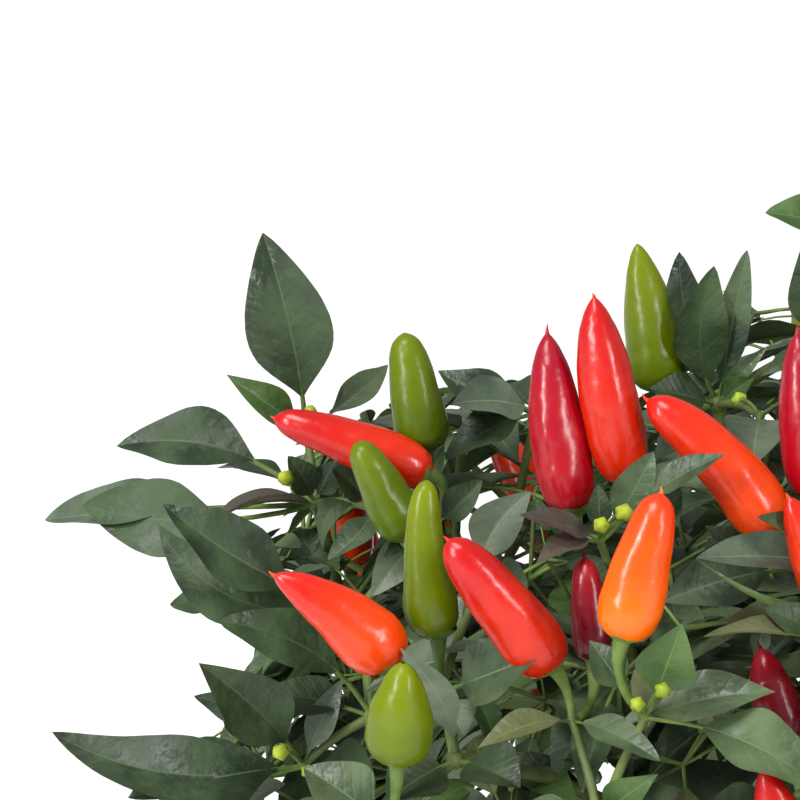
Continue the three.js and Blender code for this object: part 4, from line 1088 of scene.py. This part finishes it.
# The tones of leaves: the light and the dark of the blade, and the share of leaves that have it
TONES = {
    "dark": ((56, 76, 43), (23, 36, 23), 0.3),
    "mid": ((80, 98, 62), (38, 54, 40), 0.4),
    "grey": ((98, 110, 86), (54, 70, 57), 0.14),
    "fresh": ((80, 106, 50), (46, 70, 36), 0.1),
    "olive": ((104, 110, 72), (70, 80, 50), 0.04),
    "plum": ((84, 76, 66), (54, 52, 46), 0.02),
}

# The ripeness of fruit: its colours at the foot and at the tip, where the one turns into the other, and the
# share of grown fruit that has it
RIPENESS = {
    "crimson": ((164, 4, 20), (144, 2, 30), 0.2, 0.9, 0.12),
    "red": ((200, 36, 2), (176, 10, 12), 0.15, 0.85, 0.34),
    "orange_red": ((220, 62, 0), (196, 20, 10), 0.2, 0.95, 0.16),
    "orange": ((236, 100, 0), (220, 44, 2), 0.2, 0.95, 0.08),
    "dark_red": ((92, 2, 18), (150, 8, 26), 0.3, 0.9, 0),
    "lime": ((84, 101, 0), (108, 122, 2), 0.25, 1.0, 0.18),
    "olive": ((76, 96, 0), (93, 111, 0), 0.3, 1.0, 0.12),
}
UNRIPE = ("lime", "olive")


# One of these kinds, drawn by the share that ends each one's row
def chosen(kinds):
    return str(rng.choice(list(kinds), p=[row[-1] for row in kinds.values()]))


coarse = growth()
sprays = coarse + fine_growth(coarse)

# Twigs, leaves, fruit and buds. Each mass starts with a stub that reaches a little into its limb's end.
blades = {tone: Gathered() for tone in TONES}
skins = {ripeness: Gathered() for ripeness in RIPENESS}
twigs, stalks, pedicels, buds = Gathered(), Gathered(), Gathered(), Gathered()
STUB_INSIDE, STUB_KNOB, TWIG_KNOB = 3, 1.15, 1.35
TWIG_STEPS, TWIG_SIDES, PINHOLE = 8, 8, 0.06

for mass in MASSES:
    start = mass.root + mass.heading * STUB_LENGTH
    own = [spray for spray in sprays if spray.mass is mass]
    twigs.add_tube([mass.root - mass.heading * STUB_INSIDE, start], [BOUGH_TIP_RADIUS] * 2, 10)
    add_knob(start, BOUGH_TIP_RADIUS * STUB_KNOB, mass.heading, twigs)
    for near, far, thick, thin in grow_twigs(start, own):
        middle = mix(near, far, 0.5) + UP * TWIG_BOW * norm(far - near)
        path, radii = smooth_path([near, middle, far], [thick, (thick + thin) / 2, thin], TWIG_STEPS)
        twigs.add_tube(path, radii, TWIG_SIDES)
        add_knob(far, thin * TWIG_KNOB, unit(far - near), twigs)

for spray in sprays:
    tone = spray.tone or chosen(TONES)
    for leaf in spray.leaves:
        add_leaf(leaf, spray.kind, blades[leaf.tone or tone], stalks)
    for fruit in spray.fruits:
        fruit.ripeness = fruit.ripeness or chosen(RIPENESS)
        fruit.outline = fruit.outline or str(rng.choice(list(FRUIT_OUTLINES)))
        add_fruit(fruit, spray.point, skins[fruit.ripeness], pedicels)

for place in SHOWN_BUDS:
    point = placed(*place)
    nearest = min(SHOWN.sprays, key=lambda spray: norm(spray.point - point))
    add_bud(point, nearest.point, rng.uniform(*BUD_SIZES), buds, pedicels)

for tone, row in TONES.items():
    light, dark = (linear(*rgb) for rgb in row[:2])
    blades[tone].piece(f"leaves_{tone}", [
        blade_material(f"blade_{tone}", light, dark),
        plain_green(f"rib_{tone}", toned(light, 1.15, 0.005), light),
        plain_green(f"underside_{tone}", toned(light, 1.15, 0.02), light),
    ])
for ripeness, (foot, tip, *turn, _) in RIPENESS.items():
    look = fruit_material(ripeness, linear(*foot), linear(*tip), *turn)
    skins[ripeness].piece(f"fruit_{ripeness}", [look])
stalk_look = plain_green("stalk", linear(104, 126, 58), linear(72, 96, 40))
twigs.piece("twigs", [plain_green("twig", linear(96, 110, 56), linear(66, 82, 40))])
stalks.piece("leaf_stalks", [stalk_look])
pedicels.piece("pedicels", [stalk_look])
buds.piece("buds", [plain_green("bud", linear(160, 172, 46), linear(118, 138, 32))])

# Stem, leader and boughs, each with a number of sides and a spacing of its rings. The leader starts inside
# the stem, and only the stem swells at its forks.
LEADER_INSIDE, SEED_STEP = 3, 7.3
STEM_MESH, BOUGH_MESH = (28, 0.9), (18, 1.4)
LIMBS["leader"].path[0] -= UP * LEADER_INSIDE
bark = bark_material()
for number, (name, limb) in enumerate(LIMBS.items()):
    forks, fineness = [], BOUGH_MESH
    if name == "main_stem":
        forks, fineness = [height for _, _, height in RING_MASSES], STEM_MESH
    made = Gathered()
    made.add(*bark_tube(limb, *fineness, forks, SEED_STEP * number), ring=True)
    made.piece(f"bark_{name}", [bark], "bark", [name])

# Camera
SENSOR = 36
camera = linked("camera", bpy.data.cameras.new("camera"))
camera.data.sensor_width = SENSOR
camera.data.lens = SENSOR * VIEW_DISTANCE / (2 * VIEW_HALF)
camera.data.clip_end = 50
camera.location = EYE * MM
camera.rotation_euler = Vector(VIEW_BACK).to_track_quat("Z", "Y").to_euler()
scene.camera = camera

# A pale floor, plain and large
FLOOR_HALF = 12
corners = [(x * FLOOR_HALF, y * FLOOR_HALF, 0) for x, y in ((-1, -1), (1, -1), (1, 1), (-1, 1))]
floor_mesh = bpy.data.meshes.new("floor")
floor_mesh.from_pydata(corners, [], [(0, 1, 2, 3)])
floor = linked("floor", floor_mesh)
floor_look = Nodes("floor", 0.1)
floor_look.shader.inputs["Roughness"].default_value = 0.9
floor_look.shader.inputs["Base Color"].default_value = (0.97, 0.97, 0.97, 1)
floor_mesh.materials.append(floor_look.material)

# Light: two tall panels that the fruit mirror as streaks, a wide soft sun and a white sky
LIGHT_AIM = Vector((-0.05, 0, 0.18))


def area_light(name, place, size, power):
    light = bpy.data.lights.new(name, "AREA")
    light.shape, light.size, light.size_y, light.energy = "RECTANGLE", *size, power
    made = linked(name, light)
    made.location = place
    made.rotation_euler = (Vector(place) - LIGHT_AIM).to_track_quat("Z", "Y").to_euler()


area_light("soft_left", (-1.1, -1.0, 0.75), (0.22, 0.75), 17)
area_light("soft_right", (1.0, -1.2, 0.7), (0.16, 0.6), 11)
sun = linked("sky_light", bpy.data.lights.new("sky_light", "SUN"))
sun.data.energy, sun.data.angle = 2.3, radians(28)
sun.rotation_euler = (radians(24), radians(-18), 0)

world = bpy.data.worlds.new("world")
world.use_nodes = True
sky = world.node_tree.nodes["Background"]
sky.inputs["Color"].default_value = (1, 1, 1, 1)
sky.inputs["Strength"].default_value = 0.47
scene.world = world
scene.view_settings.view_transform = "Standard"
